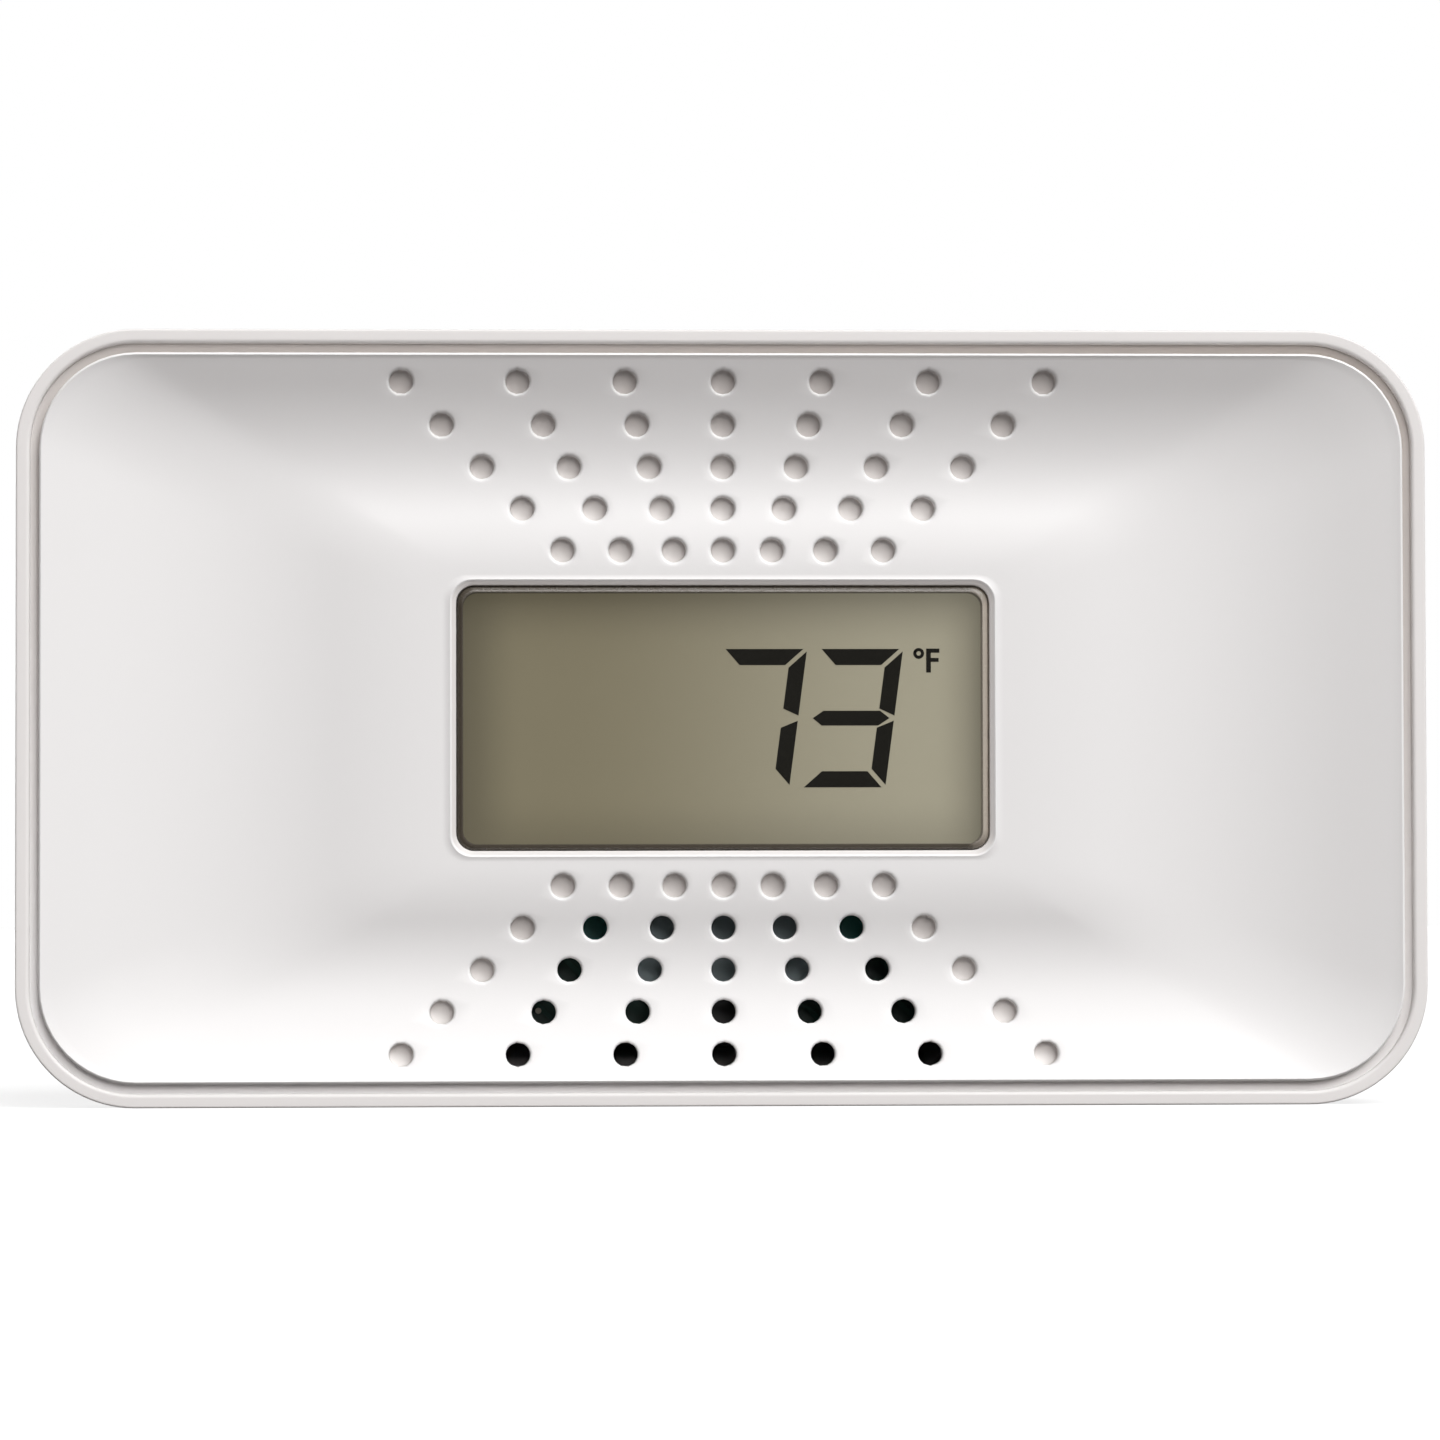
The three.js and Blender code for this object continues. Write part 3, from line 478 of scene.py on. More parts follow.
mound_depth = float(dish_depth(0.0))
lip_start = float(dish_depth(part_way(LIP_START)))
bezel_steps = [
    (0.0, 0.0), (0.05, -0.03), (0.11, -0.045), (0.17, -0.03), (0.25, 0.04),
    (0.36, 0.10), (0.50, 0.16), (0.66, 0.22), (0.72, 0.27), (0.75, 0.40),
]
bevel = [(BEZEL - [step, step, step * 0.67], mound_depth + drop) for step, drop in bezel_steps]
bevel.append((WINDOW, mound_depth + PANEL_WALL))
near_lip = contour(part_way(LIP_START))
LIP_ROUND = 0.30
GROOVE_FLOOR = 1.45
GROOVE_RISE = 0.35
lip = [(near_lip, lip_start)]
for angle in np.linspace(0.2, np.pi / 2, 5):
    inward = LIP_ROUND * (1 - np.sin(angle))
    lip.append((LIP - inward, LIP_ROUND * (1 - np.cos(angle))))
SKIRT = np.array([73.04, 39.54, 11.14])
lip += [
    (LIP, 0.42),
    (LIP, 0.8),
    (LIP, 1.1),
    (LIP, GROOVE_FLOOR - 0.15),
    (LIP + 0.05, GROOVE_FLOOR - 0.05),
    (LIP + 0.14, GROOVE_FLOOR - 0.02),
    (SKIRT - 0.05, GROOVE_FLOOR - GROOVE_RISE),
    (SKIRT, GROOVE_FLOOR - GROOVE_RISE),
    (SKIRT, SKIRT_END - 0.1),
    (SKIRT - 0.1, SKIRT_END),
    (SKIRT - SKIRT_WALL + 0.1, SKIRT_END),
    (SKIRT - SKIRT_WALL, SKIRT_END - 0.1),
    (SKIRT - SKIRT_WALL, 4.3),
    (contour(0.93), 3.0),
    (near_lip, lip_start + PANEL_WALL),
]
panel_patches = [
    dish_grid(0.0),
    cell_surface(0.0, through=True),
    dish_grid(PANEL_WALL),
    cell_surface(PANEL_WALL, through=False),
    swept_rings([s for s, _ in bevel], [d for _, d in bevel]),
    swept_rings([s for s, _ in lip], [d for _, d in lip]),
]
panel_mesh = welded("front_panel", panel_patches)

# Painted shade by place: in the blind holes, in the groove, most at the top, and on the step round the
# window.
HOLE_SHADE = 0.45
WINDOW_SHADE = 0.40
spots = np.empty(len(panel_mesh.vertices) * 3)
panel_mesh.vertices.foreach_get("co", spots)
across, depth, up = (spots.reshape(-1, 3) / MM - (0.0, FRONT, CENTRE_HEIGHT)).T
below_dish = depth - dish_depth(np.clip(part_way(np.abs(up)), 0, 1))
in_rows = (np.abs(up) > ROW_EDGES[0]) & (np.abs(up) < ROW_EDGES[-1])
in_fan = in_rows & (np.abs(across) < 1.15 * np.abs(up))
painted_shade = HOLE_SHADE * in_fan * np.clip((below_dish - 0.4) / 1.0, 0, 1)
corner = LIP[:2] - LIP[2]
reach = np.maximum(np.abs(np.stack([across, up], -1)) - corner, 0)
past_lip = np.hypot(*reach.T) - LIP[2]
# The groove's painted shade is heaviest at the top, lightest at the bottom, and a little heavier to the
# right.
groove_shade_share = np.clip(0.42 + 0.12 * across / LIP[0] + 0.33 * up / LIP[1], 0, 1)
painted_shade = np.maximum(painted_shade, groove_shade_share * (past_lip > -0.03) * np.clip((depth - 0.45) / 0.7, 0, 1))
in_window = (np.abs(across) < BEZEL[0] + 0.01) & (np.abs(up) < BEZEL[1] + 0.01)
painted_shade = np.maximum(painted_shade, WINDOW_SHADE * in_window * np.clip((depth - mound_depth - 0.02) / 0.08, 0, 1))
panel_mesh.attributes.new("painted_shade", "FLOAT", "POINT").data.foreach_set("value", painted_shade)
finish_piece("front_panel", panel_mesh, shell_white, replaces=["front_cover"])

# ---- Case ----
# The white plastic tub behind the panel. Its edge stands round the panel as a thin rim, a step
# behind the rim makes the shoulder, and the sides taper to the rounded back. Side slots, screw
# wells, slots for the bracket's hooks, pockets for the heads of the wall screws and the openings of
# the button and slider are moulded in, and two feet keep it from tipping back.
RIM = np.array([74.5, 41.0, 12.6])
RIM_FACE = 0.4
RIM_WALL = 1.5
SHOULDER = 12.0
SHOULDER_STEP = 2.0
TAPER = 3.2
TAPER_END = 32.5
BACK_FACE = 35.5
BACK_ROUND = 3.0
CASE_WALL = 2.0
CASE_FLOOR = BACK_FACE - CASE_WALL
POCKET_SPOTS = (-34.0, 34.0)
BUTTON_DEPTH = 21.0
COVER_SCREW_SPOTS = [(x, CENTRE_HEIGHT + z) for z in (27.5, -27.5) for x in (-61.0, 61.0)]
BOARD_SCREW_SPOTS = [(x, CENTRE_HEIGHT + z) for z in (27.0, -27.0) for x in (-48.0, 48.0)]
HOOK_SPOTS = [(x, z) for x in (-46.5, 46.5) for z in (63.0, 24.0)]


def placed(p, q, h, centre, axis):
    """Outline points p, q at height h along an axis through a centre, in the frame in metres. The axis
    runs back through (x, z), up through (x, depth), or along the alarm through (depth, z)."""
    p, q, h = np.broadcast_arrays(p, q, h)
    a, b = p + centre[0], q + centre[1]
    x, depth, z = {"back": (a, h, b), "up": (a, b, h), "along": (h, a, b)}[axis]
    return np.stack([x, depth + FRONT, z], -1) * MM


def eased(profile, reach, steps=4):
    """A profile whose corners are cut back by their reach along both legs, and each bridged by a
    quadratic curve that leaves and meets the legs along their own directions."""
    profile = np.asarray(profile, float)
    reach = np.broadcast_to(np.asarray(reach, float), (len(profile),))
    s = np.linspace(0, 1, steps + 1)[:, None]
    rows = [profile[:1]]
    for before, here, after, cut in zip(profile, profile[1:], profile[2:], reach[1:]):
        a = here + (before - here) * min(cut / np.linalg.norm(before - here), 0.49)
        b = here + (after - here) * min(cut / np.linalg.norm(after - here), 0.49)
        rows.append((1 - s) ** 2 * a + 2 * s * (1 - s) * here + s**2 * b if cut > 0 else here[None])
    return np.concatenate(rows + [profile[-1:]])


def loft(size, profile, centre=(0.0, CENTRE_HEIGHT), axis="back", corner_steps=12):
    """A solid through rounded rectangles, closed by its first and last outline: each row of the profile
    is (inset from size, height along the axis)."""
    inset, height = np.asarray(profile, float).T
    x, z, r = (np.maximum(np.asarray(size, float)[k] - inset, 0.02)[:, None] for k in range(3))
    corner = np.arange(4)[:, None]
    angle = (np.linspace(0, np.pi / 2, corner_steps + 1) + corner * np.pi / 2).ravel()
    sign_x = np.repeat([1, -1, -1, 1], corner_steps + 1)
    sign_z = np.repeat([1, 1, -1, -1], corner_steps + 1)
    px = sign_x * (x - r) + r * np.cos(angle)
    pz = sign_z * (z - r) + r * np.sin(angle)
    points = placed(px, pz, height[:, None], centre, axis)
    rows, around = px.shape
    ends = [np.arange(around)[::-1], np.arange(around) + (rows - 1) * around]
    return points, list(grid_quads(rows, around, closed=True)) + ends


def lathe(profile, centre, axis="back", sides=48, reach=0.0):
    """A turned solid: profile rows are (radius, height along the axis), with corners eased by reach."""
    radius, height = eased(profile, reach, 3).T if np.any(reach) else np.asarray(profile, float).T
    angle = np.arange(sides) * 2 * np.pi / sides
    p, q = radius[:, None] * np.cos(angle), radius[:, None] * np.sin(angle)
    points = placed(p, q, height[:, None], centre, axis)
    return points, list(grid_quads(len(radius), sides, closed=True))


def block(x0, x1, d0, d1, z0, z1, corner=0.3, edge=0.15):
    """A box with rounded upright corners and eased front and back edges."""
    profile = eased([(edge, d0), (0, d0), (0, d1), (edge, d1)], edge, 2)
    size = ((x1 - x0) / 2, (z1 - z0) / 2, max(corner, edge + 0.03))
    return loft(size, profile, ((x0 + x1) / 2, (z0 + z1) / 2), corner_steps=4)


def sharp_box(x0, x1, d0, d1, z0, z1):
    """A plain box to cut with."""
    x, d, z = np.meshgrid([x0, x1], [d0, d1], [z0, z1], indexing="ij")
    points = np.stack([x, d + FRONT, z], -1).reshape(-1, 3) * MM
    return points, [[0, 1, 3, 2], [4, 6, 7, 5], [0, 4, 5, 1], [2, 3, 7, 6], [0, 2, 6, 4], [1, 5, 7, 3]]


def carved(name, base, additions=(), cuts=(), soften=0.0):
    """A solid with others joined to it and others cut out of it, then its sharp edges eased a little."""
    holder = bpy.data.objects.new(name, welded(name, [base]))
    bpy.context.scene.collection.objects.link(holder)
    helpers = []
    for operation, patches in (("UNION", additions), ("DIFFERENCE", cuts)):
        for patch in patches:
            tool = bpy.data.objects.new("tool", welded("tool", [patch]))
            bpy.context.scene.collection.objects.link(tool)
            helpers.append(tool)
            step = holder.modifiers.new(operation, "BOOLEAN")
            step.operation, step.object, step.solver = operation, tool, "MANIFOLD"
    if soften:
        step = holder.modifiers.new("soften", "BEVEL")
        step.width, step.segments = soften * MM, 2
        step.limit_method, step.angle_limit = "ANGLE", math.radians(40)
        step.use_clamp_overlap = True
    bpy.context.view_layer.update()
    finished = holder.evaluated_get(bpy.context.evaluated_depsgraph_get())
    shape = bpy.data.meshes.new_from_object(finished)
    for helper in [*helpers, holder]:
        old = helper.data
        bpy.data.objects.remove(helper)
        bpy.data.meshes.remove(old)
    shape.name = name
    return shape


tail_in = SHOULDER_STEP + TAPER
back_turn = np.linspace(0, np.pi / 2, 9)[1:]
back_curve = [(tail_in + BACK_ROUND * (1 - np.cos(a)), TAPER_END + BACK_ROUND * np.sin(a)) for a in back_turn]
taper_at_floor = SHOULDER_STEP + TAPER * (CASE_FLOOR - SHOULDER) / (TAPER_END - SHOULDER)
case_corners = [
    (tail_in, TAPER_END),
    (SHOULDER_STEP, SHOULDER + 0.05),
    (0.0, SHOULDER),
    (0.0, RIM_FACE),
    (RIM_WALL, RIM_FACE),
    (RIM_WALL, SKIRT_END),
    (SHOULDER_STEP + CASE_WALL, SKIRT_END),
    (SHOULDER_STEP + CASE_WALL, SHOULDER),
    (taper_at_floor + CASE_WALL, CASE_FLOOR),
    (taper_at_floor + CASE_WALL + 2.0, CASE_FLOOR),
]
case_reach = [0, 0.5, 0.6, 0.24, 0.45, 0, 0, 0.3, 0.6, 0]
case_profile = np.concatenate([back_curve[::-1], eased(case_corners, case_reach, 5)])
case_base = loft(RIM, case_profile, corner_steps=24)
feet = []
for x in (-45, 45):
    foot = eased([(0.5, 0.0), (0.0, 0.0), (0.0, 4.0), (1.2, 6.5)], [0, 0.5, 1.0, 0], 3)
    feet.append(loft((11.0, 3.0, 1.6), foot, (x, 29.0), axis="up", corner_steps=5))
well_wall = [(0, 14.2), (4.6, 14.2), (4.9, CASE_FLOOR + 0.5), (0, CASE_FLOOR + 0.5)]
well_walls = [lathe(well_wall, spot, sides=40) for spot in COVER_SCREW_SPOTS]
pocket_walls = [sharp_box(x - 7.5, x + 7.5, 29.9, CASE_FLOOR + 0.5, 19.5, 50.5) for x in POCKET_SPOTS]
well = [(0, 13.0), (1.8, 13.0), (1.8, 27.0), (3.4, 27.0), (3.4, BACK_FACE - 0.35), (3.75, BACK_FACE),
        (3.95, BACK_FACE + 0.2), (0, BACK_FACE + 0.2)]
case_cuts = [lathe(well, spot, sides=40) for spot in COVER_SCREW_SPOTS]
for x in POCKET_SPOTS:
    flare = [(0.0, 31.4), (0.0, BACK_FACE - 0.3), (-0.35, BACK_FACE + 0.05), (-0.35, BACK_FACE + 0.5)]
    case_cuts.append(loft((6.0, 14.0, 0.8), flare, (x, 35.0), corner_steps=5))
for x, z in HOOK_SPOTS:
    case_cuts.append(sharp_box(x - 3.8, x + 3.8, CASE_FLOOR - 1, BACK_FACE + 1, z - 10.8, z - 4.5))
    case_cuts.append(sharp_box(x - 1.8, x + 1.8, CASE_FLOOR - 1, BACK_FACE + 1, z - 8.0, z + 1.5))
for side in (-1, 1):
    for depth in 16 + 3.4 * np.arange(5):
        slot_spot = (depth, CENTRE_HEIGHT)
        slot_points, slot_faces = loft((0.9, 9.0, 0.85), [(0, 64.0), (0, 77.0)], slot_spot, "along", 5)
        case_cuts.append((slot_points * np.array([side, 1, 1]), slot_faces))
button_opening = [(0, 75.2), (0, 83.0)]
case_cuts.append(loft((20.35, 5.85, 5.83), button_opening, (0.0, BUTTON_DEPTH), "up", 16))
case_cuts.append(sharp_box(57.7, 61.3, CASE_FLOOR - 1, BACK_FACE + 1, 37.7, 44.3))
case_white = moulded_plastic("case_white", (0.81, 0.787, 0.778))
case_mesh = carved("case_tub", case_base, [*feet, *well_walls, *pocket_walls], case_cuts, soften=0.14)
finish_piece("case_tub", case_mesh, case_white, replaces=["rear_housing"], flat=True)

# ---- Window and display ----
# A clear moulded window with a rounded edge is snapped in from behind the panel. Behind it a
# grey-green liquid crystal cell, two glasses on a dull film, lies in a black holder on a rubber
# contact strip, and shows two slanted seven-segment numerals and a small degree sign and letter.
LENS_FRONT = 2.72
LENS_BACK = 5.3
LENS_EDGE = 0.58
CELL_FRONT = 6.3
BOARD_FRONT = 12.0
BOARD_BACK = 13.6
DIGIT_HEIGHT = 14.76
DIGIT_WIDTH = 9.10
DIGIT_PITCH = 10.25
DIGIT_STROKE = 1.72
DIGIT_SLANT = 0.1316
FIRST_DIGIT = 3.58
DIGIT_MIDDLE = 0.08


def whole_piece(name, shape, material, node, body="alarm", flat=False):
    """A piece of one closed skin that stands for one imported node."""
    finish_piece(name, welded(name, [shape]), material, body, [node], flat=flat)


def clear_window():
    """Clear acrylic: it lets light straight through, with a faint reflection. Its rounded edge has a painted
    highlight at the right and at the top, where light gathers, and painted shade at the left and at the
    bottom."""
    material, output, wire = new_material("window_clear")
    spot, (x, _, z) = place_of(wire)
    across = wire.math("ABSOLUTE", x)
    up = wire.math("ABSOLUTE", z - CENTRE_HEIGHT)
    pane = WINDOW - 0.1
    from_side = pane[0] - across
    from_end = pane[1] - up
    corner = pane[2] + 0.3
    over_x = wire.math("MAXIMUM", corner - from_side, 0.0)
    over_z = wire.math("MAXIMUM", corner - from_end, 0.0)
    inward = corner - wire.math("SQRT", over_x * over_x + over_z * over_z)
    band = wire.node("ShaderNodeMapRange", {"interpolation_type": "SMOOTHSTEP", "clamp": True},
                     {"Value": inward, "From Min": LENS_EDGE + 0.08, "From Max": LENS_EDGE - 0.05})
    toward_right = over_x * (x > 0.0)
    toward_left = over_x * (x < 0.0)
    toward_top = over_z * (z > CENTRE_HEIGHT)
    toward_bottom = over_z * (z < CENTRE_HEIGHT)
    total = over_x + over_z + 0.001
    # Painted highlight and painted shade on the rounded edge, by side.
    lit = (toward_right + toward_top * 0.22 + toward_left * 0.03 + toward_bottom * 0.05) / total
    cloud = wire.node("ShaderNodeTexNoise", sockets={"Vector": spot, "Scale": 900.0, "Detail": 2.0})
    tint = blend_colours(wire, lit, (0.040, 0.030, 0.020, 1), (0.54, 0.48, 0.41, 1))
    edge = wire.node("ShaderNodeBsdfPrincipled", sockets={
        "Base Color": tint, "Roughness": 0.25 + 0.05 * cloud})
    through = wire.node("ShaderNodeBsdfTransparent", sockets={"Color": (0.985, 0.99, 0.985, 1)})
    gloss = wire.node("ShaderNodeBsdfGlossy", sockets={"Color": (1, 1, 1, 1), "Roughness": 0.04})
    facing = wire.node("ShaderNodeLayerWeight", sockets={"Blend": 0.5}, out=1)
    reflect = 0.04 + 0.96 * wire.math("POWER", facing, 5.0)
    pane_shader = wire.node("ShaderNodeMixShader", sockets={0: reflect, 1: through, 2: gloss})
    whole = wire.node("ShaderNodeMixShader", sockets={0: band * 0.75, 1: pane_shader, 2: edge})
    material.node_tree.links.new(whole.socket, output.inputs[0])
    return material


def crystal_glass():
    """The grey-green face of the display, with a painted glow standing in for the light that its film sends
    back: painted lighter to the right, and painted shade along its edges where the frame shades it."""
    material, output, wire = new_material("display_glass")
    spot, (x, _, z) = place_of(wire)
    # Painted light: the face is lighter towards the right.
    ramp = wire.node("ShaderNodeMapRange", {"interpolation_type": "SMOOTHSTEP"},
                     {"Value": x, "From Min": -18.0, "From Max": 27.0})
    from_side = 27.9 - wire.math("ABSOLUTE", x - 0.8)
    from_end = 13.4 - wire.math("ABSOLUTE", z - CENTRE_HEIGHT)
    side_shade = wire.node("ShaderNodeMapRange", {"interpolation_type": "SMOOTHSTEP"},
                           {"Value": from_side, "From Min": -1.0, "From Max": 6.0})
    end_shade = wire.node("ShaderNodeMapRange", {"interpolation_type": "SMOOTHSTEP"},
                          {"Value": from_end, "From Min": -1.5, "From Max": 5.5})
    speck = wire.node("ShaderNodeTexNoise", sockets={"Vector": spot, "Scale": 6000.0, "Detail": 1.0})
    cloud = wire.node("ShaderNodeTexNoise", sockets={"Vector": spot, "Scale": 60.0, "Detail": 2.0})
    face = blend_colours(wire, ramp, (0.235, 0.205, 0.132, 1), (0.42, 0.385, 0.29, 1))
    # Painted shade along the edges, where the frame shades the face.
    frame_shade = 0.60 + 0.40 * (0.35 * side_shade + 0.65 * side_shade * end_shade)
    shade = frame_shade + 0.03 * (speck - 0.5) + 0.03 * (cloud - 0.5)
    grey = wire.node("ShaderNodeCombineColor", sockets={0: shade, 1: shade, 2: shade})
    tint = wire.node("ShaderNodeMix", {"data_type": "RGBA", "blend_type": "MULTIPLY"},
                     {0: 1.0, 6: face, 7: grey}, out=2)
    # Painted light: a share of the colour is given as a glow, though the display is no lamp.
    base, glow = (blend_colours(wire, part, (0, 0, 0, 1), tint) for part in (0.38, 0.64))
    shader = wire.node("ShaderNodeBsdfPrincipled", sockets={
        "Base Color": base, "Roughness": 0.5 + 0.1 * speck, "Specular IOR Level": 0.2,
        "Emission Color": glow, "Emission Strength": 1.0})
    material.node_tree.links.new(shader.socket, output.inputs[0])
    return material


def segment_outlines():
    """The outlines of a seven-segment cell, a to g, as points across and up from its middle before the
    slant. Each outer bar runs between the cell's edge and that edge moved in by one stroke, and is
    mitred at its ends with a narrow gap."""
    half_w, half_h, s, gap = DIGIT_WIDTH / 2, DIGIT_HEIGHT / 2, DIGIT_STROKE, 0.40
    top = [(-half_w + gap, half_h), (half_w - gap, half_h),
           (half_w - gap - s, half_h - s), (-half_w + gap + s, half_h - s)]
    right = [(half_w, half_h - 0.26), (half_w, 0.27), (half_w - s, 1.02), (half_w - s, half_h - 0.26 - s)]
    bar = [(-half_w + gap, 0), (-half_w + gap + 1.05, 0.79), (half_w - 1.60, 0.79), (half_w - 0.50, 0),
           (half_w - 1.60, -0.79), (-half_w + gap + 1.05, -0.79)]
    flip = np.array([1, -1])
    mirror = np.array([-1, 1])
    top, right, bar = (np.array(p, float) for p in (top, right, bar))
    return {"a": top, "b": right, "c": right * flip, "d": top * flip,
            "e": right * -1, "f": right * mirror, "g": bar}


def ink(outline_points, depth=0.06):
    """A flat dark shape of the display: an outline across and above its middle, with a hair of thickness."""
    p, q = np.asarray(outline_points, float).T
    front = placed(p, q, CELL_FRONT - depth, (0.0, CENTRE_HEIGHT), "back")
    back = placed(p, q, CELL_FRONT, (0.0, CENTRE_HEIGHT), "back")
    n = len(p)
    walls = [[k, (k + 1) % n, n + (k + 1) % n, n + k] for k in range(n)]
    return np.concatenate([front, back]), [list(range(n))[::-1], list(range(n, 2 * n))] + walls


cells = segment_outlines()
marks = []
for middle_x, lit_segments in ((FIRST_DIGIT, "abc"), (FIRST_DIGIT + DIGIT_PITCH, "abcdg")):
    for letter in lit_segments:
        shape = cells[letter]
        slanted = shape + np.stack([shape[:, 1] * DIGIT_SLANT + middle_x, 0 * shape[:, 1] + DIGIT_MIDDLE], -1)
        marks.append(ink(slanted))
LETTER_LEFT, LETTER_TOP = 21.82, 7.50
letter_f = [(0, 0), (1.42, 0), (1.42, -0.45), (0.50, -0.45), (0.50, -1.00), (1.33, -1.00),
            (1.33, -1.42), (0.50, -1.42), (0.50, -2.56), (0, -2.56)]
marks.append(ink(np.array(letter_f) + [LETTER_LEFT, LETTER_TOP]))
turn = np.linspace(0, 2 * np.pi, 25)[:-1]
degree = np.array([21.02, 6.98])
for a0, a1 in zip(turn, np.roll(turn, -1)):
    ring_corners = ((a0, 0.24), (a0, 0.58), (a1, 0.58), (a1, 0.24))
    marks.append(ink([degree + r * np.array([np.cos(a), np.sin(a)]) for a, r in ring_corners]))
segment_ink = moulded_plastic("segment_ink", (0.012, 0.0115, 0.009), roughness=0.9, drift=0.003, ior=1.1)
finish_piece("digit_segments", welded("digit_segments", marks), segment_ink)

pane_size = WINDOW - 0.1
quarter_turn = np.linspace(0, np.pi / 2, 7)
edge_curve = [(LENS_EDGE * (1 - np.sin(a)), LENS_FRONT + 0.42 * (1 - np.cos(a))) for a in quarter_turn]
seat = mound_depth + PANEL_WALL
lens_profile = [*edge_curve, (0.0, seat), (-1.85, seat), (-1.9, seat + 0.05),
                (-1.9, LENS_BACK - 0.05), (-1.85, LENS_BACK)]
whole_piece("window_pane", loft(pane_size, lens_profile), clear_window(), "display_lens",
            flat=True)

display_glass = crystal_glass()
front_glass = block(-29.5, 29.5, CELL_FRONT, 7.4, 26.0, 60.0, 0.25, 0.12)
whole_piece("display_face", front_glass, display_glass, "lcd_front_glass")
rear_glass = block(-29.5, 29.5, 7.4, 8.5, 26.0, 56.6, 0.25, 0.12)
whole_piece("display_back", rear_glass, display_glass, "lcd_rear_glass")

black_plastic = moulded_plastic("black_plastic", (0.022, 0.023, 0.025), roughness=0.5, drift=0.006)
view_hole = sharp_box(-28.6, 28.6, 4.5, 7.3, 27.2, 54.8)
cell_well = sharp_box(-29.7, 29.7, 6.3, 20.0, 25.8, 60.2)
holder_legs = [sharp_box(-32.5, 32.5, 8.8, BOARD_FRONT, 60.4, 61.8)]
holder_legs += [sharp_box(x - 1.2, x + 1.2, 8.8, BOARD_FRONT, 23.8, 31.8) for x in (-31.3, 31.3)]
holder_frame = block(-32.5, 32.5, 5.6, 9.3, 23.8, 61.8, 1.2, 0.25)
holder_mesh = carved("display_holder", holder_frame, holder_legs, [cell_well, view_hole], soften=0.1)
finish_piece("display_holder", holder_mesh, black_plastic, replaces=["lcd_holder"],
             flat=True)


def striped(name, first, second, pitch, axis, share=0.5, roughness=0.6):
    """Two colours in even stripes along one axis (0 across, 1 back, 2 up), with a faint drift."""
    material, output, wire = new_material(name)
    spot, parts = place_of(wire)
    phase = wire.math("FRACT", parts[axis] / pitch)
    from_middle = wire.math("ABSOLUTE", phase - 0.5) * 2.0
    stripe = wire.node("ShaderNodeMapRange", {"interpolation_type": "SMOOTHSTEP"},
                       {"Value": from_middle, "From Min": share - 0.06, "From Max": share + 0.06})
    cloud = wire.node("ShaderNodeTexNoise", sockets={"Vector": spot, "Scale": 220.0, "Detail": 3.0})
    dull = [c * 0.88 for c in first]
    tint = blend_colours(wire, stripe, blend_colours(wire, cloud, (*first, 1), (*dull, 1)), (*second, 1))
    bump = wire.node("ShaderNodeBump", sockets={"Height": stripe, "Strength": 0.25, "Distance": 0.00005})
    shader = wire.node("ShaderNodeBsdfPrincipled", sockets={
        "Base Color": tint, "Roughness": roughness - 0.05 + 0.1 * cloud, "Normal": bump})
    material.node_tree.links.new(shader.socket, output.inputs[0])
    return material


def brushed_metal(name, colour, roughness=0.32, stretch=(1.0, 1.0, 1.0), scale=1800.0):
    """Bare or plated metal: fine marks, patches of handling and a darker tint in both. The marks are drawn
    out where stretch differs between the axes."""
    material, output, wire = new_material(name)
    spot, _ = place_of(wire)
    drawn = wire.node("ShaderNodeMapping", sockets={"Vector": spot, "Scale": stretch})
    marks_made = wire.node("ShaderNodeTexNoise", sockets={"Vector": drawn, "Scale": scale, "Detail": 3.0})
    cloud = wire.node("ShaderNodeTexNoise", sockets={"Vector": spot, "Scale": 160.0, "Detail": 2.0})
    dark = [c * 0.8 for c in colour]
    tint = blend_colours(wire, cloud * 0.6 + marks_made * 0.4, (*colour, 1), (*dark, 1))
    bump = wire.node("ShaderNodeBump", sockets={"Height": marks_made, "Strength": 0.2, "Distance": 0.00003})
    shader = wire.node("ShaderNodeBsdfPrincipled", sockets={
        "Base Color": tint, "Metallic": 1.0, "Normal": bump,
        "Roughness": roughness - 0.08 + 0.1 * cloud + 0.12 * marks_made})
    material.node_tree.links.new(shader.socket, output.inputs[0])
    return material


zebra = striped("strip_rubber", (0.03, 0.03, 0.032), (0.28, 0.27, 0.25), 0.36, 0, 0.5, 0.8)
strip = block(-28.5, 28.5, 7.4, BOARD_FRONT, 57.1, 59.6, 0.4, 0.2)
whole_piece("contact_strip", strip, zebra, "lcd_contact_strip")
film = brushed_metal("display_film", (0.42, 0.40, 0.30), 0.45, (1, 1, 6))
film_sheet = block(-29.0, 29.0, 8.5, 8.75, 26.5, 56.1, 0.4, 0.04)
whole_piece("display_film", film_sheet, film, "lcd_reflector")

# ---- Test button ----
# A long white pill on the top of the case, moulded with a shallow finger dip and a flange that
# keeps it in its opening. Pressing it pushes the plunger of a small sealed switch on the board.
pill = (20.0, 5.5, 5.48)
pill_corners = [(-1.3, 74.2), (-1.3, 75.2), (0.0, 75.2), (0.0, 80.6), (1.9, 80.6), (3.3, 80.15),
                (5.2, 80.05)]
pill_profile = eased(pill_corners, [0, 0.2, 0.15, 0.55, 0.5, 0.6, 0], 5)
pill_shape = loft(pill, pill_profile, (0.0, BUTTON_DEPTH), "up", 16)
whole_piece("button_cap", pill_shape, shell_white, "test_button", "button")
switch_steel = brushed_metal("switch_steel", (0.60, 0.60, 0.58), 0.35, (1, 1, 8))
plunger_middle = (0.0, 15.7)
plunger_well = lathe([(0, 70.5), (1.8, 70.5), (1.8, 73.0), (0, 73.0)], plunger_middle, "up", 32)
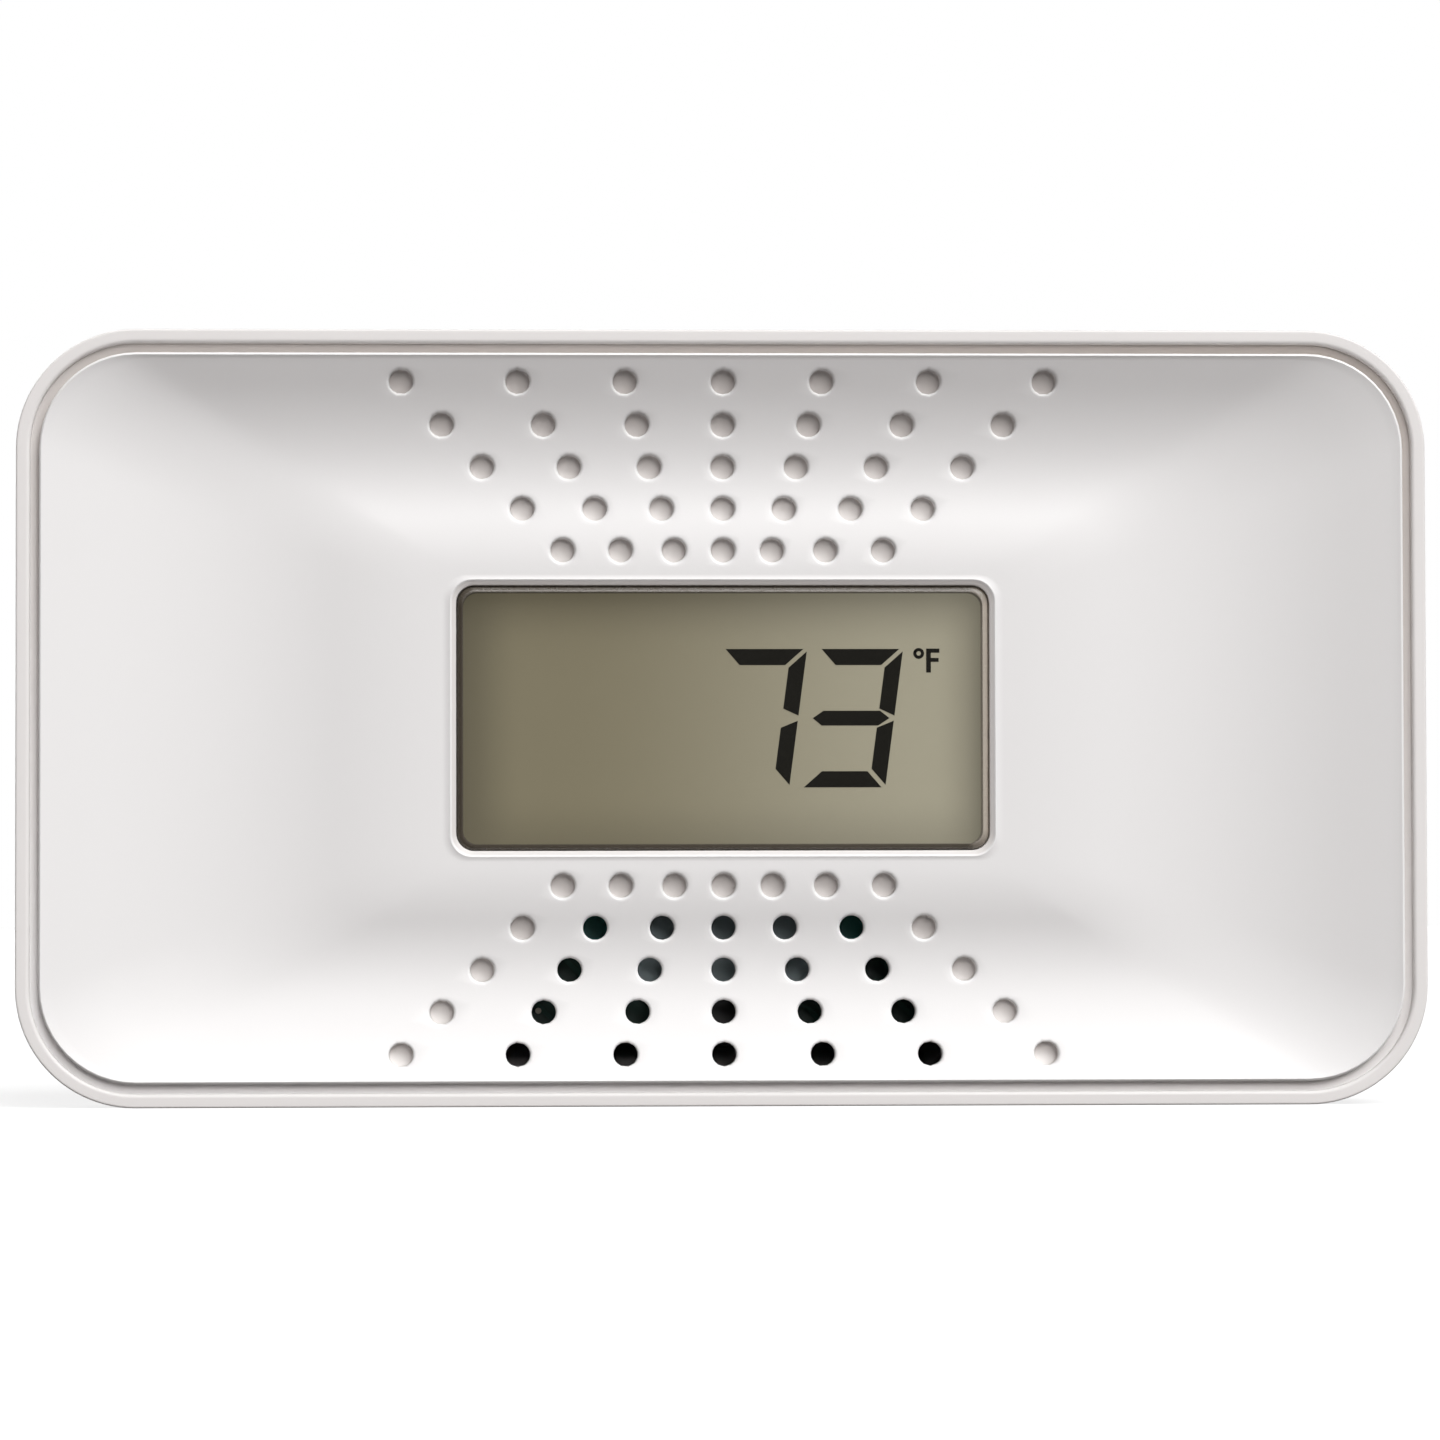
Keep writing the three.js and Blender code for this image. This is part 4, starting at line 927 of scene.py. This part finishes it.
tact_mesh = carved("press_switch", block(-3, 3, BOARD_BACK, 17.8, 66, 72, 0.5, 0.2), [], [plunger_well])
finish_piece("press_switch", tact_mesh, switch_steel, replaces=["tact_switch_body"],
             flat=True)
plunger = [(0, 71.0), (1.5, 71.0), (1.5, 73.4), (0, 73.4)]
plunger_shape = lathe(plunger, plunger_middle, "up", 32, [0, 0.1, 0.3, 0])
whole_piece("press_plunger", plunger_shape, black_plastic, "tact_switch_plunger", "plunger")

# ---- Wall bracket ----
# A flat white moulding with two keyholes for wall screws, a window for the label, and four
# hooks with broad heads that sit in slots in the back of the case. With the alarm held, it slides
# down along them until the heads meet the wide parts of the slots.
hook_parts = []
for x, z in HOOK_SPOTS:
    hook_parts.append(block(x - 1.5, x + 1.5, 32.4, 36.3, z - 1.2, z + 1.2, 0.3, 0.05))
    hook_parts.append(block(x - 3.5, x + 3.5, 31.9, 33.2, z - 3.0, z + 3.0, 0.6, 0.2))
plate_profile = eased([(0.4, 35.8), (0, 35.8), (0, 38.0), (0.6, 38.0), (0.8, 38.0)], [0, 0.2, 0.55, 0, 0], 4)
plate = loft((52.0, 28.0, 3.0), plate_profile, corner_steps=10)
label_opening = [(0, 35.0), (0, 37.7), (-0.3, 38.05), (-0.3, 39.0)]
bracket_cuts = [loft((22.0, 17.0, 3.0), label_opening, corner_steps=8)]
for x in POCKET_SPOTS:
    bracket_cuts.append(lathe([(0, 35.0), (4.6, 35.0), (4.6, 39.0), (0, 39.0)], (x, 33.0), sides=48))
    bracket_cuts.append(loft((2.2, 6.1, 2.18), [(0, 35.0), (0, 39.0)], (x, 39.1), corner_steps=10))
bracket_mesh = carved("bracket_plate", plate, hook_parts, bracket_cuts, soften=0.16)
finish_piece("bracket_plate", bracket_mesh, shell_white, "bracket", ["wall_bracket"],
             flat=True)

# ---- Power slider ----
# A black ribbed thumb piece in the back wall, held by an inner flange, whose stem carries the
# small lever of a slide switch on the board.
KNOB_SPOT = (59.5, 42.5)
knob_stem = [sharp_box(58.0, 61.0, 19.4, 36.3, 41.0, 44.0),
             block(56.0, 63.0, 32.0, 33.3, 38.5, 46.5, 0.4, 0.15)]
rib_gap = [(0, 36.3), (0, 38.0)]
knob_cuts = [loft((6.0, 0.5, 0.48), rib_gap, (KNOB_SPOT[0], KNOB_SPOT[1] + step), corner_steps=4)
             for step in (-2, 0, 2)]
knob_cuts.append(sharp_box(58.5, 60.5, 19.0, 21.6, 41.5, 43.5))
knob = block(56.0, 63.0, 35.6, 36.8, 38.5, 46.5, 0.6, 0.3)
knob_mesh = carved("slider_knob", knob, knob_stem, knob_cuts, soften=0.08)
finish_piece("slider_knob", knob_mesh, black_plastic, "slider", ["power_switch_knob"],
             flat=True)
tab_nickel = brushed_metal("tab_nickel", (0.66, 0.64, 0.58), 0.28, (1, 1, 7))
SLOT_FLOOR = 17.5
LEVER_GAP = 0.04
lever = block(58.7, 60.3, SLOT_FLOOR + LEVER_GAP, 21.4, 41.7, 43.3, 0.3, 0.12)
whole_piece("slider_lever", lever, tab_nickel, "power_switch_lever", "slider")
slide_slot = sharp_box(58.4, 60.6, SLOT_FLOOR, 20.0, 38.4, 43.6)
slide_body = block(56.5, 62.5, BOARD_BACK, 18.6, 35.0, 47.0, 0.5, 0.2)
slide_mesh = carved("slide_switch", slide_body, [], [slide_slot], soften=0.06)
finish_piece("slide_switch", slide_mesh, switch_steel, replaces=["power_switch_body"],
             flat=True)

# ---- Screws and label ----
# Eight plated steel screws with cross recesses and rolled threads, four through the case into the
# panel and four through the board, and a paper rating label, ruled but without text, inside the
# bracket window.
screw_steel = brushed_metal("screw_steel", (0.62, 0.62, 0.62), 0.30, (1, 1, 1), 900.0)


def screw_mesh(name, head, head_height, shank, tip, seat, turns):
    """A pan-head screw on the axis through the frame's origin: rings that swell and shrink up the shank
    for a thread, a domed head, and a cross cut in it."""
    length = seat - tip - shank
    crest = tip + shank + length * np.arange(turns * 2 + 1) / (turns * 2)
    thread = [(shank * (1.0 if k % 2 else 0.8), h) for k, h in enumerate(crest[:-1])]
    top = seat + head_height
    profile = [(0, tip), (shank * 0.35, tip), *thread, (shank * 0.8, seat), (head, seat),
               (head, seat + head_height * 0.4), (head * 0.72, seat + head_height * 0.93),
               (head * 0.3, top), (0, top)]
    w, arm = head * 0.13, head * 0.55
    recess = [(w * 0.8, top - head_height * 0.55), (0, top + 0.1)]
    cross = [loft((p, q, w * 0.9), recess, (0, 0), corner_steps=3) for p, q in ((arm, w), (w, arm))]
    return carved(name, lathe(profile, (0.0, 0.0), sides=36), [], cross)


case_screw = screw_mesh("case_screw", 2.8, 2.2, 1.4, 7.0, 27.0, 12)
board_screw = screw_mesh("board_screw", 2.2, 1.6, 1.1, 7.5, BOARD_BACK, 5)
screw_sets = ((case_screw, COVER_SCREW_SPOTS, "cover_screw"), (board_screw, BOARD_SCREW_SPOTS, "board_screw"))
for master, spots, prefix in screw_sets:
    for number, (x, z) in enumerate(spots, 1):
        shape = master.copy()
        place = np.empty(len(shape.vertices) * 3)
        shape.vertices.foreach_get("co", place)
        shape.vertices.foreach_set("co", (place.reshape(-1, 3) + np.array([x, 0, z]) * MM).ravel())
        shape.update()
        shape.name = f"{master.name}_{number}"
        finish_piece(shape.name, shape, screw_steel, replaces=[f"{prefix}_{number}"],
                     sharp=40)
bpy.data.meshes.remove(case_screw)
bpy.data.meshes.remove(board_screw)


def label_print():
    """White label paper with a thin frame and four ruled lines, slightly mottled."""
    material, output, wire = new_material("label_paper")
    spot, (x, _, z) = place_of(wire)
    across, up = wire.math("ABSOLUTE", x), z - CENTRE_HEIGHT
    high = wire.math("ABSOLUTE", up)
    inside_frame = wire.math("MAXIMUM", across - 17.7, high - 12.7) < 0.0
    frame_line = (wire.math("MAXIMUM", across - 17.4, high - 12.4) > 0.0) * inside_frame
    ruled = wire.math("ABSOLUTE", wire.math("FRACT", up / 4.0) - 0.5) < 0.03
    rules = ruled * (across < 15.0) * (up > -7.5) * (up < 9.5)
    ink_mask = wire.math("MAXIMUM", frame_line, rules)
    cloud = wire.node("ShaderNodeTexNoise", sockets={"Vector": spot, "Scale": 300.0, "Detail": 4.0})
    paper = blend_colours(wire, cloud, (0.74, 0.73, 0.70, 1), (0.66, 0.65, 0.62, 1))
    tint = blend_colours(wire, ink_mask, paper, (0.12, 0.12, 0.13, 1))
    bump = wire.node("ShaderNodeBump", sockets={"Height": cloud, "Strength": 0.1, "Distance": 0.00003})
    shader = wire.node("ShaderNodeBsdfPrincipled", sockets={
        "Base Color": tint, "Roughness": 0.6 + 0.1 * cloud, "Normal": bump})
    material.node_tree.links.new(shader.socket, output.inputs[0])
    return material


LABEL_FACE = BACK_FACE + 0.15
label_edge = eased([(0.05, BACK_FACE), (0, BACK_FACE), (0, LABEL_FACE), (0.05, LABEL_FACE)], 0.03, 2)
whole_piece("back_label", loft((19.0, 14.0, 2.0), label_edge), label_print(), "rating_label")

# ---- Circuit board and small parts ----
# A glass-fibre board with notched corners under a blue-green mask with tracks and pads, painted dark
# at its foot as shade, and pinned by its screws. On its back stand the control chip, two capacitors, the
# horn's transformer, a crystal and a thermistor; two lamps face forward above the display.
board_green, board_output, wire = new_material("board_green")
spot, (board_x, _, board_z) = place_of(wire)
weave = wire.node("ShaderNodeTexNoise", sockets={"Vector": spot, "Scale": 2600.0, "Detail": 2.0})
cells_made = wire.node("ShaderNodeTexVoronoi", sockets={"Vector": spot, "Scale": 230.0})
tracks = wire.math("ABSOLUTE", wire.math("FRACT", (board_x + board_z) / 2.6) - 0.5) < 0.14
patches_made = wire.node("ShaderNodeTexNoise", sockets={"Vector": spot, "Scale": 90.0, "Detail": 0.0}) > 0.5
pads = cells_made < 0.11
# Painted shade: the mask and tracks are painted dark below about 16 mm.
painted_shade_zone = wire.node("ShaderNodeMapRange", sockets={"Value": board_z, "From Min": 17.2, "From Max": 16.0})
bright_mask = blend_colours(wire, weave, (0.050, 0.350, 0.320, 1), (0.040, 0.300, 0.275, 1))
mask_green = blend_colours(wire, painted_shade_zone, bright_mask, (0.012, 0.052, 0.040, 1))
track_tint = blend_colours(wire, painted_shade_zone, (0.075, 0.480, 0.440, 1), (0.018, 0.080, 0.062, 1))
with_tracks = blend_colours(wire, tracks * patches_made, mask_green, track_tint)
board_tint = blend_colours(wire, pads, with_tracks, (0.58, 0.55, 0.48, 1))
board_bump = wire.node("ShaderNodeBump", sockets={
    "Height": tracks * patches_made + pads + 0.2 * weave, "Strength": 0.5, "Distance": 0.00004})
shader = wire.node("ShaderNodeBsdfPrincipled", sockets={
    "Base Color": board_tint, "Roughness": 0.32 + 0.1 * weave, "Metallic": pads * 0.8, "Normal": board_bump})
board_green.node_tree.links.new(shader.socket, board_output.inputs[0])
nodes["circuit_board"].data.materials.clear()
nodes["circuit_board"].data.materials.append(board_green)

chip_legs = []
for z in 48.5 + 1.8 * np.arange(6):
    chip_legs.append(sharp_box(-30.5, -15.5, BOARD_BACK, 14.2, z - 0.35, z + 0.35))
chip_dot = lathe([(0, 15.2), (0.6, 15.2), (0.6, 16.0), (0, 16.0)], (-27.6, 57.6), sides=20)
chip_mesh = carved("control_chip", block(-29, -17, 13.9, 15.4, 47, 59, 0.35, 0.25), chip_legs, [chip_dot])
finish_piece("control_chip", chip_mesh, black_plastic, replaces=["microcontroller"],
             flat=True)
cell_sleeve = striped("cell_sleeve", (0.035, 0.115, 0.22), (0.50, 0.52, 0.54), 13.0, 0, 0.86, 0.35)
can = [(0, BOARD_BACK), (3.15, BOARD_BACK), (3.15, 14.6), (2.9, 15.0), (3.15, 15.4), (3.15, 24.6),
       (2.5, 24.6), (2.4, 24.4), (0, 24.4)]
for number, (x, z) in enumerate(((-34, 63), (28, 38)), 1):
    can_shape = lathe(can, (x, z), sides=48, reach=[0, 0.2, 0.15, 0.2, 0.15, 0.4, 0.1, 0.1, 0])
    score = [sharp_box(x - p, x + p, 24.28, 25, z - q, z + q) for p, q in ((1.9, 0.12), (0.12, 1.9))]
    finish_piece(f"storage_capacitor_{number}", carved("capacitor", can_shape, [], score), cell_sleeve,
                 replaces=[f"capacitor_{number}"])
winding = lathe([(0, 21.0), (4.0, 21.0), (4.0, 23.5), (0, 23.5)], (26, 17), sides=40, reach=[0, 0, 0.4, 0])
core_mesh = carved("horn_coil", block(20, 32, BOARD_BACK, 22, 12, 22, 0.6, 0.3), [winding], soften=0.1)
coil_tape = striped("coil_tape", (0.56, 0.34, 0.05), (0.44, 0.25, 0.03), 1.9, 1, 0.8, 0.45)
finish_piece("horn_coil", core_mesh, coil_tape, replaces=["horn_transformer"], flat=True)
crystal_side = eased([(0.0, BOARD_BACK), (0.0, 15.4), (0.5, 15.4)], [0, 0.35, 0], 4)
crystal_can = loft((1.5, 4.0, 1.45), crystal_side, (-12.5, 51.0), corner_steps=8)
whole_piece("crystal_can", crystal_can, tab_nickel, "crystal")
bead = [(0, BOARD_BACK), (0.5, BOARD_BACK), (0.5, 17.0), (1.4, 18.0), (1.4, 19.4), (0.7, 20.4), (0, 20.4)]
bead_shape = lathe(bead, (-58, 24), sides=32, reach=[0, 0, 0.3, 0.5, 0.7, 0.3, 0])
whole_piece("heat_bead", bead_shape, black_plastic, "thermistor")
lamp = [(0, 8.0), (1.0, 8.05), (1.5, 9.3), (1.5, 11.0), (1.9, 11.0), (1.9, BOARD_FRONT), (0, BOARD_FRONT)]
for colour, x, tint in (("green", -6.5, (0.05, 0.42, 0.14)), ("red", 6.5, (0.48, 0.03, 0.02))):
    lamp_shape = lathe(lamp, (x, 67.65), sides=32, reach=[0, 0.6, 0.6, 0.1, 0.1, 0.1, 0])
    lamp_look = moulded_plastic(f"lamp_{colour}", tint, roughness=0.15, grain=0.1, drift=0.02)
    whole_piece(f"lamp_{colour}", lamp_shape, lamp_look, f"led_{colour}")

# ---- Horn ----
# A blue-grey moulded mouth, shallow and closed in the middle, with painted shade that turns it nearly
# black at its foot, in front of the board. Behind the board a black sound box holds a brass disc with a
# ceramic face under a cap.
# Two insulated leads arch from the board to the cap.
HORN_SPOT = (0.0, 17.5)


def turned_piece(name, profile, reach, material, node, spot=HORN_SPOT):
    """A turned piece on an axis that runs back through a spot, with its corners eased by reach."""
    whole_piece(name, lathe(profile, spot, sides=72, reach=reach), material, node)


mouth = [(0, 10.6), (2.6, 10.6), (9.0, 9.6), (9.8, 9.6), (10.3, 10.1), (10.3, BOARD_FRONT),
         (8.7, BOARD_FRONT), (8.7, BOARD_BACK), (0, BOARD_BACK)]
# Painted shade: the mouth is painted nearly black below 12 mm.
mouth_grey = moulded_plastic("mouth_grey", (0.44, 0.54, 0.57), roughness=0.5, drift=0.03, painted_shade_below=12.0)
turned_piece("sound_mouth", mouth, [0, 0.8, 0.3, 0.3, 0.2, 0.1, 0.1, 0.1, 0], mouth_grey, "horn_mouth")
box = [(7.7, BOARD_BACK), (11.5, BOARD_BACK), (11.5, 20.0), (10.5, 20.0), (10.5, 16.0), (7.7, 16.0),
       (7.7, BOARD_BACK)]
turned_piece("sound_box", box, [0, 0.25, 0.1, 0.1, 0.1, 0.2, 0], black_plastic, "horn_body")
brass = brushed_metal("disc_brass", (0.62, 0.44, 0.16), 0.28, (1, 1, 1), 1200.0)
disc = [(0, 16.0), (10.2, 16.0), (10.2, 16.3), (0, 16.3)]
turned_piece("sound_disc", disc, [0, 0.08, 0.08, 0], brass, "piezo_disc")
ceramic = moulded_plastic("disc_ceramic", (0.72, 0.69, 0.62), roughness=0.6, grain=1.5, drift=0.06)
wafer = [(0, 16.3), (6.8, 16.3), (6.8, 16.55), (0, 16.55)]
turned_piece("sound_wafer", wafer, [0, 0.06, 0.06, 0], ceramic, "piezo_ceramic")
cap = [(0, 20.0), (11.5, 20.0), (11.5, 21.2), (9.0, 21.2), (8.6, 20.9), (0, 20.9)]
turned_piece("sound_cap", cap, [0, 0.1, 0.4, 0.15, 0.15, 0], black_plastic, "horn_back_cap")


LEAD_ARCH = 27.0


def lead_tube(name, x0, x1, z0, z1, radius=0.55, steps=40, sides=16):
    """A round lead along a cubic curve whose two middle points stand straight behind its ends."""
    s = np.linspace(0, 1, steps + 1)[:, None]
    corners = ((x0, BOARD_BACK, z0), (x0, LEAD_ARCH, z0), (x1, LEAD_ARCH, z1), (x1, 21.0, z1))
    weights = [(1 - s) ** 3, 3 * s * (1 - s) ** 2, 3 * s**2 * (1 - s), s**3]
    line = sum(w * np.array(p, float) for w, p in zip(weights, corners))
    ahead = np.gradient(line, axis=0)
    ahead /= np.linalg.norm(ahead, axis=1)[:, None]
    level = np.array([z0 - z1, 0.0, x1 - x0])
    side_way = np.cross(ahead, level)
    side_way /= np.linalg.norm(side_way, axis=1)[:, None]
    other_way = np.cross(ahead, side_way)
    angle = np.arange(sides) * 2 * np.pi / sides
    around = np.cos(angle)[:, None] * side_way[:, None] + np.sin(angle)[:, None] * other_way[:, None]
    tube = line[:, None] + radius * around
    points = (tube + [0, FRONT, 0]) * MM
    ends = [np.arange(sides)[::-1], np.arange(sides) + steps * sides]
    return welded(name, [(points, list(grid_quads(steps + 1, sides, closed=True)) + ends)])


lead_red = moulded_plastic("lead_red", (0.40, 0.025, 0.02), roughness=0.4, drift=0.02)
red_tube = lead_tube("sound_lead_red", 14, 4, 23.5, 19.5)
finish_piece("sound_lead_red", red_tube, lead_red, replaces=["horn_lead_red"])
black_tube = lead_tube("sound_lead_black", -14, -4, 23.5, 19.5)
finish_piece("sound_lead_black", black_tube, black_plastic, replaces=["horn_lead_black"])

# ---- Gas sensor ----
# A round steel can on a black base with three pins, closed by a black cap with an air hole.
SENSOR_SPOT = (-50.0, 40.0)
pin = [(0, BOARD_BACK), (0.7, BOARD_BACK), (0.7, 15.8), (0, 15.8)]
pins = [lathe(pin, (SENSOR_SPOT[0] + x, SENSOR_SPOT[1] + z), sides=20)
        for x, z in ((0, 6), (-5.2, -3), (5.2, -3))]
base = [(0, 14.8), (9.6, 14.8), (9.6, 16.8), (0, 16.8)]
base_shape = lathe(base, SENSOR_SPOT, sides=64, reach=[0, 0.2, 0.1, 0])
base_mesh = carved("sensor_base", base_shape, pins)
finish_piece("sensor_base", base_mesh, black_plastic, replaces=["co_sensor_base"])
sensor_steel = brushed_metal("sensor_steel", (0.63, 0.63, 0.62), 0.26, (1, 9, 1))
can = [(0, 16.8), (10.2, 16.8), (10.2, 17.8), (9.7, 18.2), (9.7, 27.7), (9.1, 28.3), (0, 28.3)]
turned_piece("sensor_can", can, [0, 0.15, 0.3, 0.2, 0.4, 0.4, 0], sensor_steel, "co_sensor_can",
             SENSOR_SPOT)
lid = [(1.2, 28.3), (8.0, 28.3), (8.0, 29.1), (7.6, 29.5), (1.5, 29.5), (1.2, 29.2), (1.2, 28.3)]
turned_piece("sensor_lid", lid, [0, 0.1, 0.2, 0.2, 0.1, 0.1, 0], black_plastic, "co_sensor_cap",
             SENSOR_SPOT)

# ---- Battery ----
# A sealed long-life cell in a blue sleeve with narrow pale bands, welded to two nickel tabs and
# resting in a black cradle behind the board.
CELL_AXIS = (23.1, 60.0)
cell_shape = [(0, 7.7), (8.0, 7.7), (8.5, 8.2), (8.5, 40.5), (7.9, 41.1), (3.0, 41.1), (3.0, 42.3), (0, 42.3)]
cell_turned = lathe(cell_shape, CELL_AXIS, "along", 72, [0, 0.2, 0.3, 0.4, 0.4, 0.1, 0.3, 0])
whole_piece("long_life_cell", cell_turned, cell_sleeve, "battery_cell")
for end_name, x0, x1 in (("positive", 42.3, 42.6), ("negative", 7.4, 7.7)):
    tab = block(x0, x1, BOARD_BACK, 26.1, 57.5, 62.5, 0.1, 0.05)
    whole_piece(f"cell_tab_{end_name}", tab, tab_nickel, f"battery_tab_{end_name}")
hollow = lathe([(0, 5.0), (8.8, 5.0), (8.8, 45.0), (0, 45.0)], CELL_AXIS, "along", 72)
cradle_block = block(12, 38, BOARD_BACK, 20, 52, 68, 0.8, 0.3)
cradle_mesh = carved("cell_cradle", cradle_block, [], [hollow], soften=0.1)
finish_piece("cell_cradle", cradle_mesh, black_plastic, replaces=["battery_cradle"],
             flat=True)
